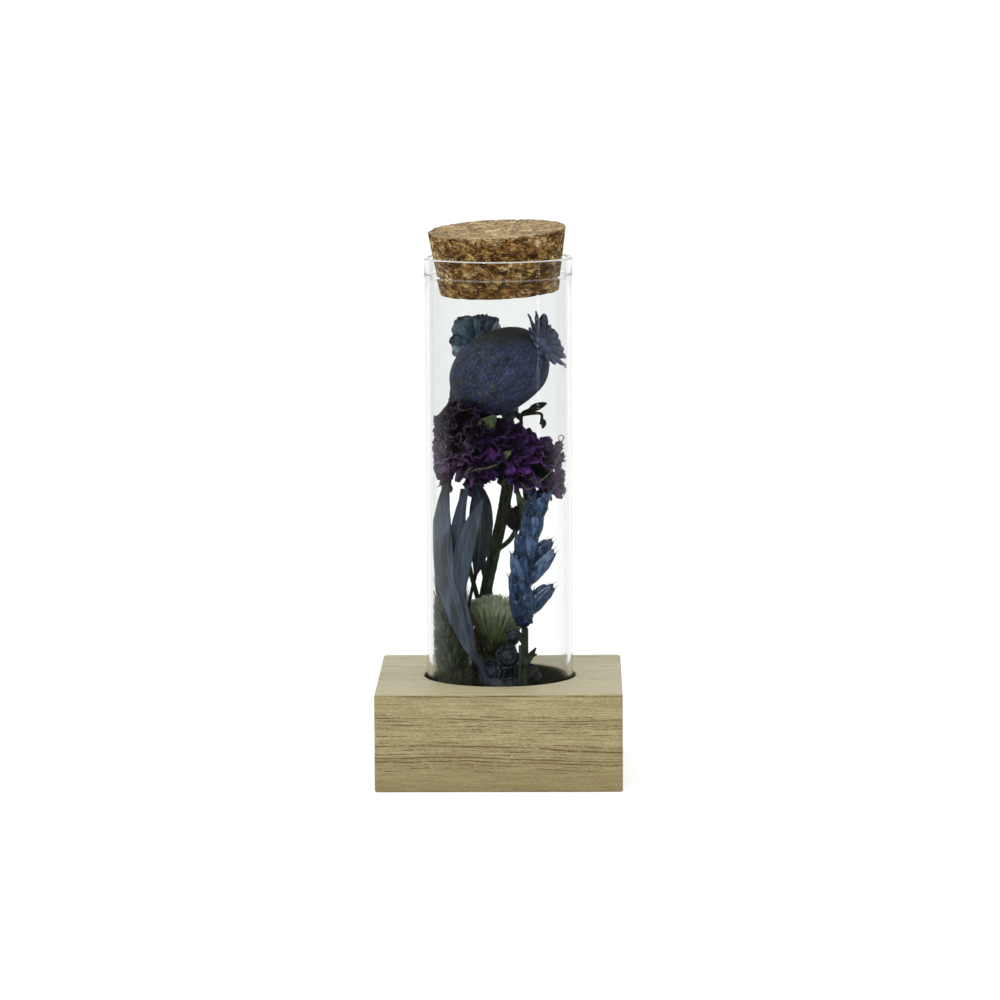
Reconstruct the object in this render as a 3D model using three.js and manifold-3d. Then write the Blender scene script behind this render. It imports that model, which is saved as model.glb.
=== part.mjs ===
// Dried flowers in a corked glass tube that stands in a wooden block.
// Millimetres, +Z up. The origin is the centre of the block's underside, on the tube's axis.
// +X is to the viewer's right and +Y away from the viewer.

import * as THREE from 'three';
import { mergeVertices } from 'three/addons/utils/BufferGeometryUtils.js';
import Module from 'manifold-3d';

const wasm = await Module();
wasm.setup();

// Block
const BLOCK_SIDE = 50;
const BLOCK_HEIGHT = 20;
const BLOCK_EDGE = 0.5;
const HOLE_RADIUS = 15.6;
const HOLE_FLOOR = 6.2;
const HOLE_SIDES = 56;

// Glass tube
const TUBE_RADIUS = 15;
const TUBE_BOTTOM = 6.5;
const TUBE_LENGTH = 100;
const TUBE_RIM = TUBE_BOTTOM + TUBE_LENGTH;
const GLASS = 1;
const HEEL = 1.4;
const COLLAR_HEIGHT = 3.8;
const COLLAR_STEP = 0.12;
const BEAD = 0.35;
const TUBE_SIDES = 40;
// Lowest height that the foot of a stem can have
const FLOOR = TUBE_BOTTOM + GLASS + 0.3;

// Cork
const CORK_TOP_RADIUS = 14.1;
const CORK_BOTTOM_RADIUS = 12.05;
const CORK_HEIGHT = 12.9;
const CORK_MIDDLE = new THREE.Vector3(0, 0, 106.2);
const CORK_LEAN_RIGHT = THREE.MathUtils.degToRad(-2.4);
const CORK_LEAN_FORWARD = THREE.MathUtils.degToRad(3.7);
const CORK_SIDES = 36;
const CORK_EDGE = 0.4;

// Foliage: thickness of leaves and petals, and the room kept between neighbours
const BLADE = 0.62;
const CLEAR = 0.3;

// Turn from one floret or bristle to the next
const GOLDEN_ANGLE = 2.39996;

const v = (x, y, z) => new THREE.Vector3(x, y, z);
const UP = v(0, 0, 1);

// Poppy capsule: an egg along its axis, given as distances along it and radii
const CAPSULE = v(0.1, -0.9, 82.7);
const CAPSULE_AXIS = v(0.855, -0.1, 0.51).normalize();
const CAPSULE_PROFILE = [
  [-11.2, 1.3], [-10.4, 2.3], [-9.2, 4.5], [-7.6, 6.1], [-5.2, 7.5], [-2.4, 8.2],
  [0.8, 8.3], [4, 7.8], [6.6, 6.9], [8.4, 5.6], [9.6, 4.2],
];
const CAPSULE_SIDES = 20;
const CAPSULE_HALF = 12;
const CAPSULE_GIRTH = 8.8;
const RIB_DEPTH = 0.985;
const CROWN_LOBES = 12;
const CROWN_REACH = 5.2;
const CROWN_ROOT = 1.8;
const CROWN_AT = 11.2;
const CROWN_AXIS = v(0.8, -0.28, 0.58).normalize();

// The point, or the nearest one that the glass leaves free
function insideGlass(p) {
  const room = TUBE_RADIUS - GLASS - BLADE / 2 - CLEAR;
  const reach = Math.hypot(p.x, p.y);
  const share = Math.min(1, room / reach);
  return v(p.x * share, p.y * share, p.z);
}

// The point, or the nearest one that the capsule and the glass leave free
function fitted(p) {
  const off = p.clone().sub(CAPSULE);
  const along = off.dot(CAPSULE_AXIS);
  const beside = Math.sqrt(Math.max(off.lengthSq() - along * along, 0));
  const share = Math.hypot(along / CAPSULE_HALF, beside / CAPSULE_GIRTH);
  return insideGlass(share < 1 ? CAPSULE.clone().addScaledVector(off, 1 / share) : p);
}

const taper = (thick, thin) => (t) => thick + (thin - thick) * t;

// Seeded draws, so that every run places the small repeats alike
function draws(seed) {
  let state = seed;
  return (low = 0, high = 1) => {
    state = (state * 16807) % 2147483647;
    return low + (high - low) * (state / 2147483647);
  };
}

function geometryOf(positions, index) {
  const geometry = new THREE.BufferGeometry();
  geometry.setAttribute('position', new THREE.Float32BufferAttribute(positions, 3));
  geometry.setIndex(index);
  return geometry;
}

function solidOf(geometry) {
  const bare = geometry.clone();
  bare.deleteAttribute('normal');
  bare.deleteAttribute('uv');
  const merged = mergeVertices(bare, 1e-4);
  return new wasm.Manifold(new wasm.Mesh({
    numProp: 3,
    vertProperties: new Float32Array(merged.attributes.position.array),
    triVerts: new Uint32Array(merged.index.array),
  }));
}

// One solid from several that sink into each other; scraps that hang loose are dropped
function fuse(solids) {
  let level = solids;
  while (level.length > 1) {
    const next = [];
    for (let i = 0; i < level.length; i += 2) {
      next.push(i + 1 < level.length ? level[i].add(level[i + 1]) : level[i]);
    }
    level = next;
  }
  return largest(level[0]);
}

function largest(solid) {
  const bodies = solid.decompose();
  return bodies.reduce((best, body) => (body.volume() > best.volume() ? body : best));
}

function meshOf(name, solid, color, roughness = 0.8) {
  const { vertProperties, triVerts } = solid.getMesh();
  const geometry = geometryOf(Array.from(vertProperties), Array.from(triVerts));
  geometry.computeVertexNormals();
  const material = new THREE.MeshStandardMaterial({ color, roughness, metalness: 0 });
  const mesh = new THREE.Mesh(geometry, material);
  mesh.name = name;
  return mesh;
}

// Closed solid through rings of equal length, each counted anticlockwise round the way it runs;
// the last face can dip to a point of its own
function loft(rings, dip) {
  const count = rings[0].length;
  const positions = rings.flat().flatMap((p) => [p.x, p.y, p.z]);
  const index = [];
  for (let k = 0; k + 1 < rings.length; k += 1) {
    for (let i = 0; i < count; i += 1) {
      const a = k * count + i;
      const b = k * count + ((i + 1) % count);
      index.push(a, b, a + count, b, b + count, a + count);
    }
  }
  const cap = (ring, first, outward, centre) => {
    const middle = centre ?? ring.reduce((sum, p) => sum.add(p), v(0, 0, 0)).divideScalar(count);
    const tip = positions.length / 3;
    positions.push(middle.x, middle.y, middle.z);
    for (let i = 0; i < count; i += 1) {
      const a = first + i;
      const b = first + ((i + 1) % count);
      index.push(tip, outward ? a : b, outward ? b : a);
    }
  };
  cap(rings[0], 0, false);
  cap(rings[rings.length - 1], (rings.length - 1) * count, true, dip);
  return solidOf(geometryOf(positions, index));
}

// Two directions square to a third
function across(direction, near = UP) {
  const side = v(0, 0, 0).crossVectors(near, direction);
  if (side.lengthSq() < 1e-4) {
    side.crossVectors(v(0, 1, 0), direction);
  }
  side.normalize();
  const other = v(0, 0, 0).crossVectors(direction, side).normalize();
  return [side, other];
}

function ringAt(centre, direction, radius, sides, near, flat = 1) {
  const [side, other] = across(direction, near);
  return Array.from({ length: sides }, (_, i) => {
    const angle = (2 * Math.PI * i) / sides;
    return centre.clone()
      .addScaledVector(side, radius * Math.cos(angle))
      .addScaledVector(other, radius * flat * Math.sin(angle));
  });
}

// Round rod along a smooth curve, with its radius given by a function of how far along it is
function rod(points, radius, sides = 6, steps = 8, flat = 1) {
  const curve = new THREE.CatmullRomCurve3(points);
  const near = v(0.31, -0.9, 0.28);
  const rings = [];
  for (let k = 0; k <= steps; k += 1) {
    const t = k / steps;
    const r = typeof radius === 'function' ? radius(t) : radius;
    rings.push(ringAt(curve.getPointAt(t), curve.getTangentAt(t), r, sides, near, flat));
  }
  return loft(rings);
}

// Closed blade from a grid of points, split into triangles alike on both faces
function blade(grid, thickness = BLADE, round = false) {
  const rows = grid.length;
  const columns = grid[0].length;
  const at = (i, j) => {
    const row = Math.min(Math.max(i, 0), rows - 1);
    const column = round ? (j + columns) % columns : Math.min(Math.max(j, 0), columns - 1);
    return grid[row][column];
  };
  const positions = [];
  for (const half of [0.5, -0.5]) {
    for (let i = 0; i < rows; i += 1) {
      for (let j = 0; j < columns; j += 1) {
        const along = at(i + 1, j).clone().sub(at(i - 1, j));
        const over = at(i, j + 1).clone().sub(at(i, j - 1));
        const normal = along.cross(over).normalize();
        const p = grid[i][j].clone().addScaledVector(normal, thickness * half);
        positions.push(p.x, p.y, p.z);
      }
    }
  }
  const under = rows * columns;
  const index = [];
  const lastColumn = round ? columns : columns - 1;
  for (let i = 0; i + 1 < rows; i += 1) {
    for (let j = 0; j < lastColumn; j += 1) {
      const a = i * columns + j;
      const b = i * columns + ((j + 1) % columns);
      const c = a + columns;
      const d = b + columns;
      index.push(a, c, d, a, d, b);
      index.push(under + a, under + d, under + c, under + a, under + b, under + d);
    }
  }
  const wall = (a, b) => index.push(a, b, under + b, a, under + b, under + a);
  for (let j = 0; j < lastColumn; j += 1) {
    const next = (j + 1) % columns;
    const last = (rows - 1) * columns;
    wall(j, next);
    wall(last + next, last + j);
  }
  if (!round) {
    for (let i = 0; i + 1 < rows; i += 1) {
      wall((i + 1) * columns, i * columns);
      wall(i * columns + columns - 1, (i + 1) * columns + columns - 1);
    }
  }
  return solidOf(geometryOf(positions, index));
}

// Leaf along a midrib: half widths follow a curve, and the two halves fold up from the rib
function leaf({ rib, width, face, fold = 0.18, rows = 9, widest = 0.55, stalk = 0.16 }) {
  const curve = new THREE.CatmullRomCurve3(rib);
  const grid = [];
  for (let i = 0; i < rows; i += 1) {
    const t = i / (rows - 1);
    const centre = curve.getPointAt(t);
    const along = curve.getTangentAt(t);
    const out = face.clone().addScaledVector(along, -face.dot(along)).normalize();
    const side = v(0, 0, 0).crossVectors(along, out);
    const half = Math.max(0.45, (width / 2) * leafShape(t, widest, stalk));
    grid.push([-1, 0, 1].map((s) => fitted(centre.clone()
      .addScaledVector(side, half * s)
      .addScaledVector(out, Math.abs(s) * half * fold))));
  }
  return blade(grid);
}

function leafShape(t, widest, stalk) {
  if (t < stalk) {
    return 0.12;
  }
  const grown = (t - stalk) / (1 - stalk);
  const peak = (widest - stalk) / (1 - stalk);
  const u = grown < peak ? grown / peak : (1 - grown) / (1 - peak);
  return 0.12 + 0.88 * Math.sin((Math.PI / 2) * Math.min(u, 1)) ** 0.9;
}

// Petal from a base point along a direction: broad and rounded, cupped by a bend towards face
function petal({ base, along, face, length, width, curl = 0.25, rows = 4, pointed = 0, foot = 1 }) {
  const out = face.clone().addScaledVector(along, -face.dot(along)).normalize();
  const side = v(0, 0, 0).crossVectors(along, out);
  const grid = [];
  for (let i = 0; i < rows; i += 1) {
    const t = i / (rows - 1);
    const round = Math.sin(Math.PI * (0.14 + 0.68 * t)) ** 0.8;
    const narrow = i === 0 ? foot : 1;
    const half = Math.max(0.4, (width / 2) * round * narrow * (1 - pointed * t * t));
    const centre = base.clone()
      .addScaledVector(along, length * t)
      .addScaledVector(out, curl * length * t * t);
    grid.push([-1, 0, 1].map((s) => centre.clone()
      .addScaledVector(side, half * s)
      .addScaledVector(out, Math.abs(s) * half * 0.3)));
  }
  return blade(grid.map((row) => row.map(insideGlass)));
}

// Papery trumpet: a slim foot that flares to a pleated rim round a dished mouth
const PLEATS = 4;
const PLEAT = 0.13;

function trumpet({ mouth, from, radius, turn = 0 }) {
  const direction = mouth.clone().sub(from).normalize();
  const [side, other] = across(direction);
  const ring = (centre, r, pleat) => Array.from({ length: PLEATS * 2 }, (_, j) => {
    const angle = turn + (Math.PI * j) / PLEATS;
    const wave = j % 2 ? -pleat : pleat;
    return fitted(centre.clone()
      .addScaledVector(direction, wave * r)
      .addScaledVector(side, r * (1 + wave) * Math.cos(angle))
      .addScaledVector(other, r * (1 + wave) * Math.sin(angle)));
  });
  const lip = mouth.clone().addScaledVector(direction, BLADE / 2);
  return loft([ring(from, 0.3 * radius, 0), ring(mouth, radius, PLEAT), ring(lip, radius - 0.5, PLEAT)],
    from.clone().lerp(mouth, 0.5));
}

// Wooden block with slightly broken edges and a blind hole
function woodenBlock() {
  const half = BLOCK_SIDE / 2;
  const outline = (inset, z) => {
    const far = half - inset;
    const near = far - BLOCK_EDGE;
    return [
      v(far, -near, z), v(far, near, z), v(near, far, z), v(-near, far, z),
      v(-far, near, z), v(-far, -near, z), v(-near, -far, z), v(near, -far, z),
    ];
  };
  const body = loft([
    outline(BLOCK_EDGE / 2, 0),
    outline(0, BLOCK_EDGE / 2),
    outline(0, BLOCK_HEIGHT - BLOCK_EDGE / 2),
    outline(BLOCK_EDGE / 2, BLOCK_HEIGHT),
  ]);
  const drill = new THREE.CylinderGeometry(HOLE_RADIUS, HOLE_RADIUS, BLOCK_HEIGHT, HOLE_SIDES);
  drill.rotateX(Math.PI / 2);
  drill.translate(0, 0, HOLE_FLOOR + BLOCK_HEIGHT / 2);
  return body.subtract(solidOf(drill));
}

// Glass tube: flat bottom with a rounded heel, and a collar with a small bead inside the rim
function glassTube() {
  const inner = TUBE_RADIUS - GLASS;
  const wide = TUBE_RADIUS + COLLAR_STEP;
  const collar = TUBE_RIM - COLLAR_HEIGHT;
  const profile = [
    [0, TUBE_BOTTOM],
    [TUBE_RADIUS - HEEL, TUBE_BOTTOM],
    [TUBE_RADIUS - HEEL * 0.3, TUBE_BOTTOM + HEEL * 0.3],
    [TUBE_RADIUS, TUBE_BOTTOM + HEEL],
    [TUBE_RADIUS, collar - 0.2],
    [wide, collar + 0.2],
    [wide, TUBE_RIM - 0.4],
    [TUBE_RADIUS - 0.5, TUBE_RIM],
    [inner - BEAD, TUBE_RIM - 0.6],
    [inner - BEAD, TUBE_RIM - 1.6],
    [inner, TUBE_RIM - 3],
    [inner, TUBE_BOTTOM + GLASS + HEEL],
    [inner - HEEL * 0.7, TUBE_BOTTOM + GLASS],
    [0, TUBE_BOTTOM + GLASS],
  ];
  const lathe = new THREE.LatheGeometry(profile.map(([r, z]) => new THREE.Vector2(r, z)), TUBE_SIDES);
  lathe.rotateX(Math.PI / 2);
  return solidOf(lathe);
}

// Cork: tapered, with worn edges, leaning a little to one side and towards the viewer
function corkStopper() {
  const half = CORK_HEIGHT / 2;
  const rings = [
    [CORK_BOTTOM_RADIUS - CORK_EDGE, -half],
    [CORK_BOTTOM_RADIUS, -half + CORK_EDGE],
    [CORK_TOP_RADIUS, half - CORK_EDGE],
    [CORK_TOP_RADIUS - CORK_EDGE, half],
  ];
  const lean = new THREE.Euler(CORK_LEAN_FORWARD, CORK_LEAN_RIGHT, 0);
  return loft(rings.map(([radius, z]) => ringAt(v(0, 0, z), UP, radius, CORK_SIDES)
    .map((p) => p.applyEuler(lean).add(CORK_MIDDLE))));
}

const POPPY_STEM = [
  v(-9.2, 0.1, 77.2), v(-10, 0.9, 75.6), v(-10.4, 3.2, 73), v(-11.2, 4.9, 69.6), v(-11.3, 5.4, 64),
  v(-11.4, 5.2, 56),
  v(-11, 6, 44), v(-9.4, 7.6, 30), v(-7.8, 7.6, 18), v(-7.2, 7.2, FLOOR),
];

// Capsule with faint ribs on its stem, and a crown of separate lobes that flare forward
function poppyCapsule() {
  const [side, other] = across(CAPSULE_AXIS);
  const body = loft(CAPSULE_PROFILE.map(([at, radius]) => Array.from({ length: CAPSULE_SIDES }, (_, i) => {
    const angle = (2 * Math.PI * i) / CAPSULE_SIDES;
    const ribbed = radius * (i % 2 ? RIB_DEPTH : 1);
    return CAPSULE.clone()
      .addScaledVector(CAPSULE_AXIS, at)
      .addScaledVector(side, ribbed * Math.cos(angle))
      .addScaledVector(other, ribbed * Math.sin(angle));
  })));
  const hub = CAPSULE.clone().addScaledVector(CAPSULE_AXIS, CROWN_AT);
  const boss = loft([[-2.4, 3.2], [0.2, 3], [0.9, 1.4]].map(([at, radius]) => ringAt(
    hub.clone().addScaledVector(CROWN_AXIS, at), CROWN_AXIS, radius, 10,
  )));
  const [level, upright] = across(CROWN_AXIS);
  const lobes = Array.from({ length: CROWN_LOBES }, (_, i) => {
    const angle = (2 * Math.PI * (i + 0.15)) / CROWN_LOBES;
    const radial = level.clone().multiplyScalar(Math.cos(angle)).addScaledVector(upright, Math.sin(angle));
    return petal({
      base: hub.clone().addScaledVector(radial, CROWN_ROOT),
      along: radial,
      face: CROWN_AXIS,
      length: CROWN_REACH,
      width: 2.6,
      curl: 0.16,
      rows: 3,
      pointed: 0.35,
    });
  });
  return fuse([body, rod(POPPY_STEM, taper(0.95, 0.8), 6, 14), boss, ...lobes]);
}

// Teal head on its stem: a shallow cup of broad petals in two layers, leaning back from the capsule
const TEAL_MIDDLE = v(-4.2, 5.6, 88.2);
const TEAL_FACE = v(-0.42, 0.72, 0.55).normalize();
const TEAL_OUTER = [4.7, 5.6, 5, 4.4, 5, 5.2, 5.2, 4.8];
const TEAL_INNER = [4, 4, 4, 4];
const TEAL_STEM = [
  v(-4.4, 6.4, 87.4), v(-4.8, 8.6, 84.6), v(-5, 9.5, 80), v(-5, 9.6, 68), v(-4.9, 9.5, 58),
  v(-4.2, 9.6, 45),
  v(-2.2, 9.8, 34), v(-1.6, 9.8, 20), v(-1.6, 9.6, FLOOR),
];

function tealHead() {
  const [side, other] = across(TEAL_FACE);
  const layer = (lengths, width, rise, turn, rows) => lengths.map((length, i) => {
    const angle = (2 * Math.PI * (i + turn)) / lengths.length;
    const radial = side.clone().multiplyScalar(Math.cos(angle)).addScaledVector(other, Math.sin(angle));
    return petal({
      base: TEAL_MIDDLE.clone().addScaledVector(radial, 0.9),
      along: radial.addScaledVector(TEAL_FACE, rise).normalize(),
      face: TEAL_FACE,
      length,
      width,
      curl: 0.22,
      rows,
      foot: 0.3,
    });
  });
  const heart = loft([[-0.6, 1.3], [0.8, 1.9], [1.8, 0.9]].map(([at, radius]) => ringAt(
    TEAL_MIDDLE.clone().addScaledVector(TEAL_FACE, at), TEAL_FACE, radius, 8,
  )));
  const stem = rod(TEAL_STEM, 0.75, 6, 10);
  return fuse([heart, stem, ...layer(TEAL_OUTER, 4.4, 0.12, 0, 4), ...layer(TEAL_INNER, 3.2, 0.9, 0.5, 3)]);
}

// Small bud under the capsule, on its stem
const SMALL_BUD = v(2, 6.2, 74.2);
const SMALL_BUD_STEM = [v(2.2, 6.3, 72.6), v(3.2, 7.2, 69), v(4.6, 8, 64), v(5.6, 8.3, 52), v(5.2, 8.3, 35),
  v(4.2, 8.1, FLOOR)];

function smallBud() {
  const direction = v(-0.12, -0.1, 1).normalize();
  const bud = loft([[-2.4, 0.5], [-1.8, 1.3], [-0.4, 1.95], [1, 1.7], [2.1, 0.9]].map(([at, radius]) => ringAt(
    SMALL_BUD.clone().addScaledVector(direction, at), direction, radius, 10,
  )));
  return fuse([bud, rod(SMALL_BUD_STEM, 0.6, 6, 8)]);
}

// Statice: trumpets stand out all round three slim branches of one spray, and past their ends
const STATICE_BRANCHES = [
  { core: [v(-7.2, -2.2, 63.6), v(-7.2, -2.8, 69), v(-7.6, -4.6, 73.8)], reach: 6.4, count: 14, turn: 0.4 },
  { core: [v(-6, -2.6, 66.8), v(-2, -3.2, 67.8), v(2, -3, 67.4)], reach: 6.3, count: 8, turn: 1.3 },
  { core: [v(2, -3, 67), v(6, -2.8, 64.8), v(10, -1.3, 62)], reach: 5.6, count: 13, turn: 2.2 },
];
const BRANCH_RADIUS = 2.6;
const CALYX_ROOT = 1.3;
const CALYX_RADIUS = 2.7;
const BACK_REACH = 0.86;
const END_LEAN = 1.1;
// Room for the tip of the wheat ear, the tops of the stems below the heads, and the capsule's neck
const ROOMS = [
  new THREE.Box3(v(2.6, -11, 50), v(11, -3, 60.4)),
  new THREE.Box3(v(-3, -4.6, 50), v(6, 4.6, 61.4)),
  new THREE.Box3(v(-11.5, -1.4, 73), v(-6, 4, 80)),
];

function staticeCalyces() {
  const random = draws(41);
  const solids = [];
  STATICE_BRANCHES.forEach(({ core, reach, count, turn }) => {
    const curve = new THREE.CatmullRomCurve3(core);
    solids.push(rod(core, (t) => BRANCH_RADIUS * (0.6 + 0.4 * Math.sin(Math.PI * t)), 8, 4));
    for (let i = 0; i < count; i += 1) {
      const t = (i + 0.5) / count;
      const tangent = curve.getTangentAt(t);
      const [side, other] = across(tangent);
      const angle = turn + i * GOLDEN_ANGLE;
      const lean = END_LEAN * (2 * t - 1) ** 3;
      const out = side.multiplyScalar(Math.cos(angle)).addScaledVector(other, Math.sin(angle));
      out.multiplyScalar(Math.cos(lean)).addScaledVector(tangent, Math.sin(lean));
      const root = curve.getPointAt(t);
      const length = reach * random(0.92, 1.06) * (out.y > 0 ? BACK_REACH : 1);
      const mouth = fitted(root.clone().addScaledVector(out, length));
      if (!ROOMS.some((room) => room.containsPoint(mouth))) {
        const from = root.addScaledVector(out, CALYX_ROOT);
        solids.push(trumpet({ mouth, from, radius: CALYX_RADIUS * random(0.9, 1.08), turn: random(0, Math.PI) }));
      }
    }
  });
  return fuse(solids);
}

// Main stem, the side branch with its bract, and the thin stem of the left head
const STATICE_STEM = [
  v(-0.6, 0.6, 62), v(0.3, 1.8, 57.8), v(-0.7, 4, 51.5), v(-2.1, 5.6, 46.6), v(-4.3, 7.6, 35), v(-5.4, 8.2, 24),
  v(-4.8, 8.2, FLOOR),
];
const STATICE_SIDE_BRANCH = [
  v(-2.6, 6.2, 43.6), v(1.6, 3.6, 46.9), v(3.1, 1.6, 49.2), v(4.7, 0.4, 52.4), v(4.5, -0.6, 55.6),
  v(3.6, -1.6, 58.4), v(3.6, -2, 60.6),
];
const STATICE_LEFT_BRANCH = [
  v(-7.4, -1.6, 58.6), v(-7.9, -1, 55), v(-7.6, 1, 49), v(-6.2, 4.6, 41), v(-4.6, 7.6, 34),
];
const BRACT = [v(2.9, 1.8, 49), v(4.6, 0.2, 52), v(4.7, -0.9, 55), v(3.6, -2, 58.2)];

function staticeStem() {
  return fuse([
    rod(STATICE_STEM, 1.45, 8, 12, 0.4),
    rod(STATICE_SIDE_BRANCH, 0.5, 6, 8),
    rod(STATICE_LEFT_BRANCH, 0.5, 6, 7),
    leaf({ rib: BRACT, width: 1.9, face: v(-0.7, -0.7, 0), rows: 6, stalk: 0.02, widest: 0.5 }),
  ]);
}

// Young calyx, still folded, standing in the bract
function youngCalyx() {
  const points = [v(3.1, -0.2, 50.2), v(2.3, -1, 52), v(2.9, -1.6, 54.6)];
  const fat = (t) => 0.5 + 1.05 * Math.sin(Math.PI * (0.1 + 0.75 * t));
  return rod(points, fat, 7, 6);
}

// Dark twig with two small bracts above the right head
function darkTwig() {
  return fuse([
    rod([v(4.5, -0.5, 72.3), v(4.8, -0.6, 74), v(7, -0.8, 75), v(9.5, -1, 76)], 0.42, 4, 4),
    rod([v(4.8, -0.6, 73.8), v(7, -0.8, 74.1), v(8.7, -1, 73.9), v(8.5, -0.8, 72.4)], 0.42, 4, 4),
    leaf({
      rib: [v(5.6, -0.7, 74.3), v(7.4, -0.9, 75.3), v(9.8, -1, 76.2)], width: 1.6, face: v(0, -1, 0.2), rows: 4,
      stalk: 0.05,
    }),
  ]);
}

// Long narrow leaves that share one foot at the front of the tube's floor
const SPRIG_FOOT = [v(-0.8, -8.4, FLOOR), v(-1.4, -8.2, 13), v(-2.2, -7.8, 18.4), v(-4.4, -7.6, 25)];
const LEAVES = [
  {
    rib: [v(-2.2, -8.2, 18), v(-6, -8.8, 30), v(-7.5, -8.9, 38.5), v(-7.1, -8.8, 46.2), v(-5.4, -8.2, 52),
      v(-3.2, -7.2, 57.4)],
    width: 4, face: v(0.25, -1, 0), widest: 0.74, stalk: 0.5,
  },
  {
    rib: [v(-2.2, -7.9, 17.6), v(-5, -7.8, 25.4), v(-7.8, -7.7, 30.4), v(-10.6, -6.6, 37), v(-12, -4.8, 44),
      v(-12.5, -3.6, 51), v(-11.9, -3.3, 57), v(-10.9, -3.6, 60)],
    width: 4.8, face: v(-0.75, -0.8, 0), widest: 0.5, stalk: 0.2,
  },
  {
    rib: [v(-3.4, -7.2, 22), v(-6.8, -5.8, 31), v(-8.8, -5.6, 42), v(-8.3, -5.8, 50), v(-7.4, -5.8, 56),
      v(-6, -5.6, 60.4)],
    width: 3.4, face: v(-0.1, -1, 0), widest: 0.6, stalk: 0.2,
  },
  {
    rib: [v(-3.2, -7.4, 21.6), v(-6.6, -6.8, 30), v(-9.2, -6.6, 38), v(-10.2, -6.2, 46), v(-9.9, -5.4, 53)],
    width: 4, face: v(-0.5, -0.9, 0), widest: 0.6, stalk: 0.2,
  },
  {
    rib: [v(-3, -7, 21), v(-5.6, -5.4, 28), v(-6, -4.6, 36), v(-5.3, -4, 44), v(-4.9, -3.8, 51),
      v(-5.3, -4, 57), v(-6.2, -4.2, 61)],
    width: 3.6, face: v(0.1, -1, 0), widest: 0.6, stalk: 0.2,
  },
  {
    rib: [v(-2, -8, 17), v(-1.6, -9.2, 19.6), v(-0.2, -10.2, 19.6), v(1.6, -10.6, 18.4)],
    width: 2.2, face: v(0, -1, 0.3), widest: 0.4, stalk: 0.05,
  },
];

function leafySprig() {
  return fuse([rod(SPRIG_FOOT, 0.75, 6, 6), ...LEAVES.map(leaf)]);
}

// Ear of wheat: pointed scales in two rows up the axis, and two more rows before and behind
const EAR_AXIS = [v(5.1, -6.5, 31.4), v(4.5, -6.5, 35), v(4.4, -6.5, 40), v(5.1, -6.5, 45), v(6.2, -6.5, 49.6),
  v(7.1, -6.4, 53.2)];
const EAR_ROWS = 6;
const SCALE_LENGTH = 7;
const SCALE_WIDTH = 3.9;
const SCALE_SHAPE = [[0, 0.45], [0.45, 1], [1, 0.16]];

function scale(base, along, length, width) {
  return loft(SCALE_SHAPE.map(([t, w]) => ringAt(
    base.clone().addScaledVector(along, length * t), along, (width / 2) * w, 4, v(0, -1, 0.1), 0.7,
  )));
}

// Full scales that stand well out on the right of the ear: foot, tip and width
const EAR_TIPS = [
  [v(6, -6.5, 43), v(10.8, -6.6, 49.4), 3.4],
  [v(5.6, -6.5, 39.6), v(11.3, -6.6, 47.4), 3.8],
  [v(5, -6.5, 33), v(11.3, -6.6, 40.4), 4],
];

function wheatEar() {
  const random = draws(17);
  const curve = new THREE.CatmullRomCurve3(EAR_AXIS);
  const solids = [rod(EAR_AXIS, taper(1.9, 0.9), 6, 6)];
  for (let i = 0; i < EAR_ROWS; i += 1) {
    const t = Math.min((i + 0.1) / (EAR_ROWS - 0.8), 1);
    const base = curve.getPointAt(t);
    const up = curve.getTangentAt(t);
    const spread = 1 - 0.35 * t;
    [v(-1, -0.25, 0), v(1, -0.3, 0), v(0.1, -1, 0), v(0, 1, 0)].forEach((out, row) => {
      const start = base.clone().addScaledVector(up, row % 2 ? 0.9 : -0.6).addScaledVector(out, 0.8 * spread);
      const along = up.clone().addScaledVector(out, random(0.24, 0.4) * spread).normalize();
      solids.push(scale(start, along, SCALE_LENGTH * random(0.85, 1) * spread ** 0.5,
        SCALE_WIDTH * random(0.85, 1) * spread ** 0.5));
    });
  }
  EAR_TIPS.forEach(([foot, tip, width]) => {
    const along = tip.clone().sub(foot);
    solids.push(scale(foot, along.clone().normalize(), along.length(), width));
  });
  return fuse(solids);
}

const STRAWS = [
  [v(5.2, -6.5, 30.6), v(5.2, -6.5, 22), v(5, -6.6, 14), v(4.8, -6.6, FLOOR)],
  [v(4.4, -6.2, 27), v(4.2, -6.3, 20), v(4, -6.5, 14), v(4.1, -6.5, FLOOR)],
];

// Two straws joined at their foot, and a small sheath leaf
function wheatStraws() {
  return fuse([
    rod(STRAWS[0], 0.75, 7, 5),
    rod(STRAWS[1], 0.55, 6, 5),
    leaf({
      rib: [v(5.2, -6.4, 23.4), v(5.9, -6.2, 25.2), v(6.7, -6, 26.9)], width: 2, face: v(0.4, -1, 0.1), rows: 4,
      stalk: 0.02, widest: 0.6,
    }),
  ]);
}

// Brush-like head: a scaly green base, and a fan of pale florets that stand out of it
const BRUSH_FOOT = v(-2.2, 2.4, 20.4);
const BRUSH_AXIS = v(0.14, -0.08, 1).normalize();
const BRUSH_BASE_TOP = 25.6;
const FLORETS = 38;
const FLORET_FOOT = 0.4;
const FLORET_MOUTH = 0.85;
const FLORET_SPREAD = 0.72;
const FLORET_FLATNESS = 0.5;
const BRUSH_SCALE_ROWS = [
  { at: 0.6, count: 4, radius: 1.6 },
  { at: 2.2, count: 6, radius: 2.3 },
];
const BRUSH_SCALE_LENGTH = 3.6;

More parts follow.
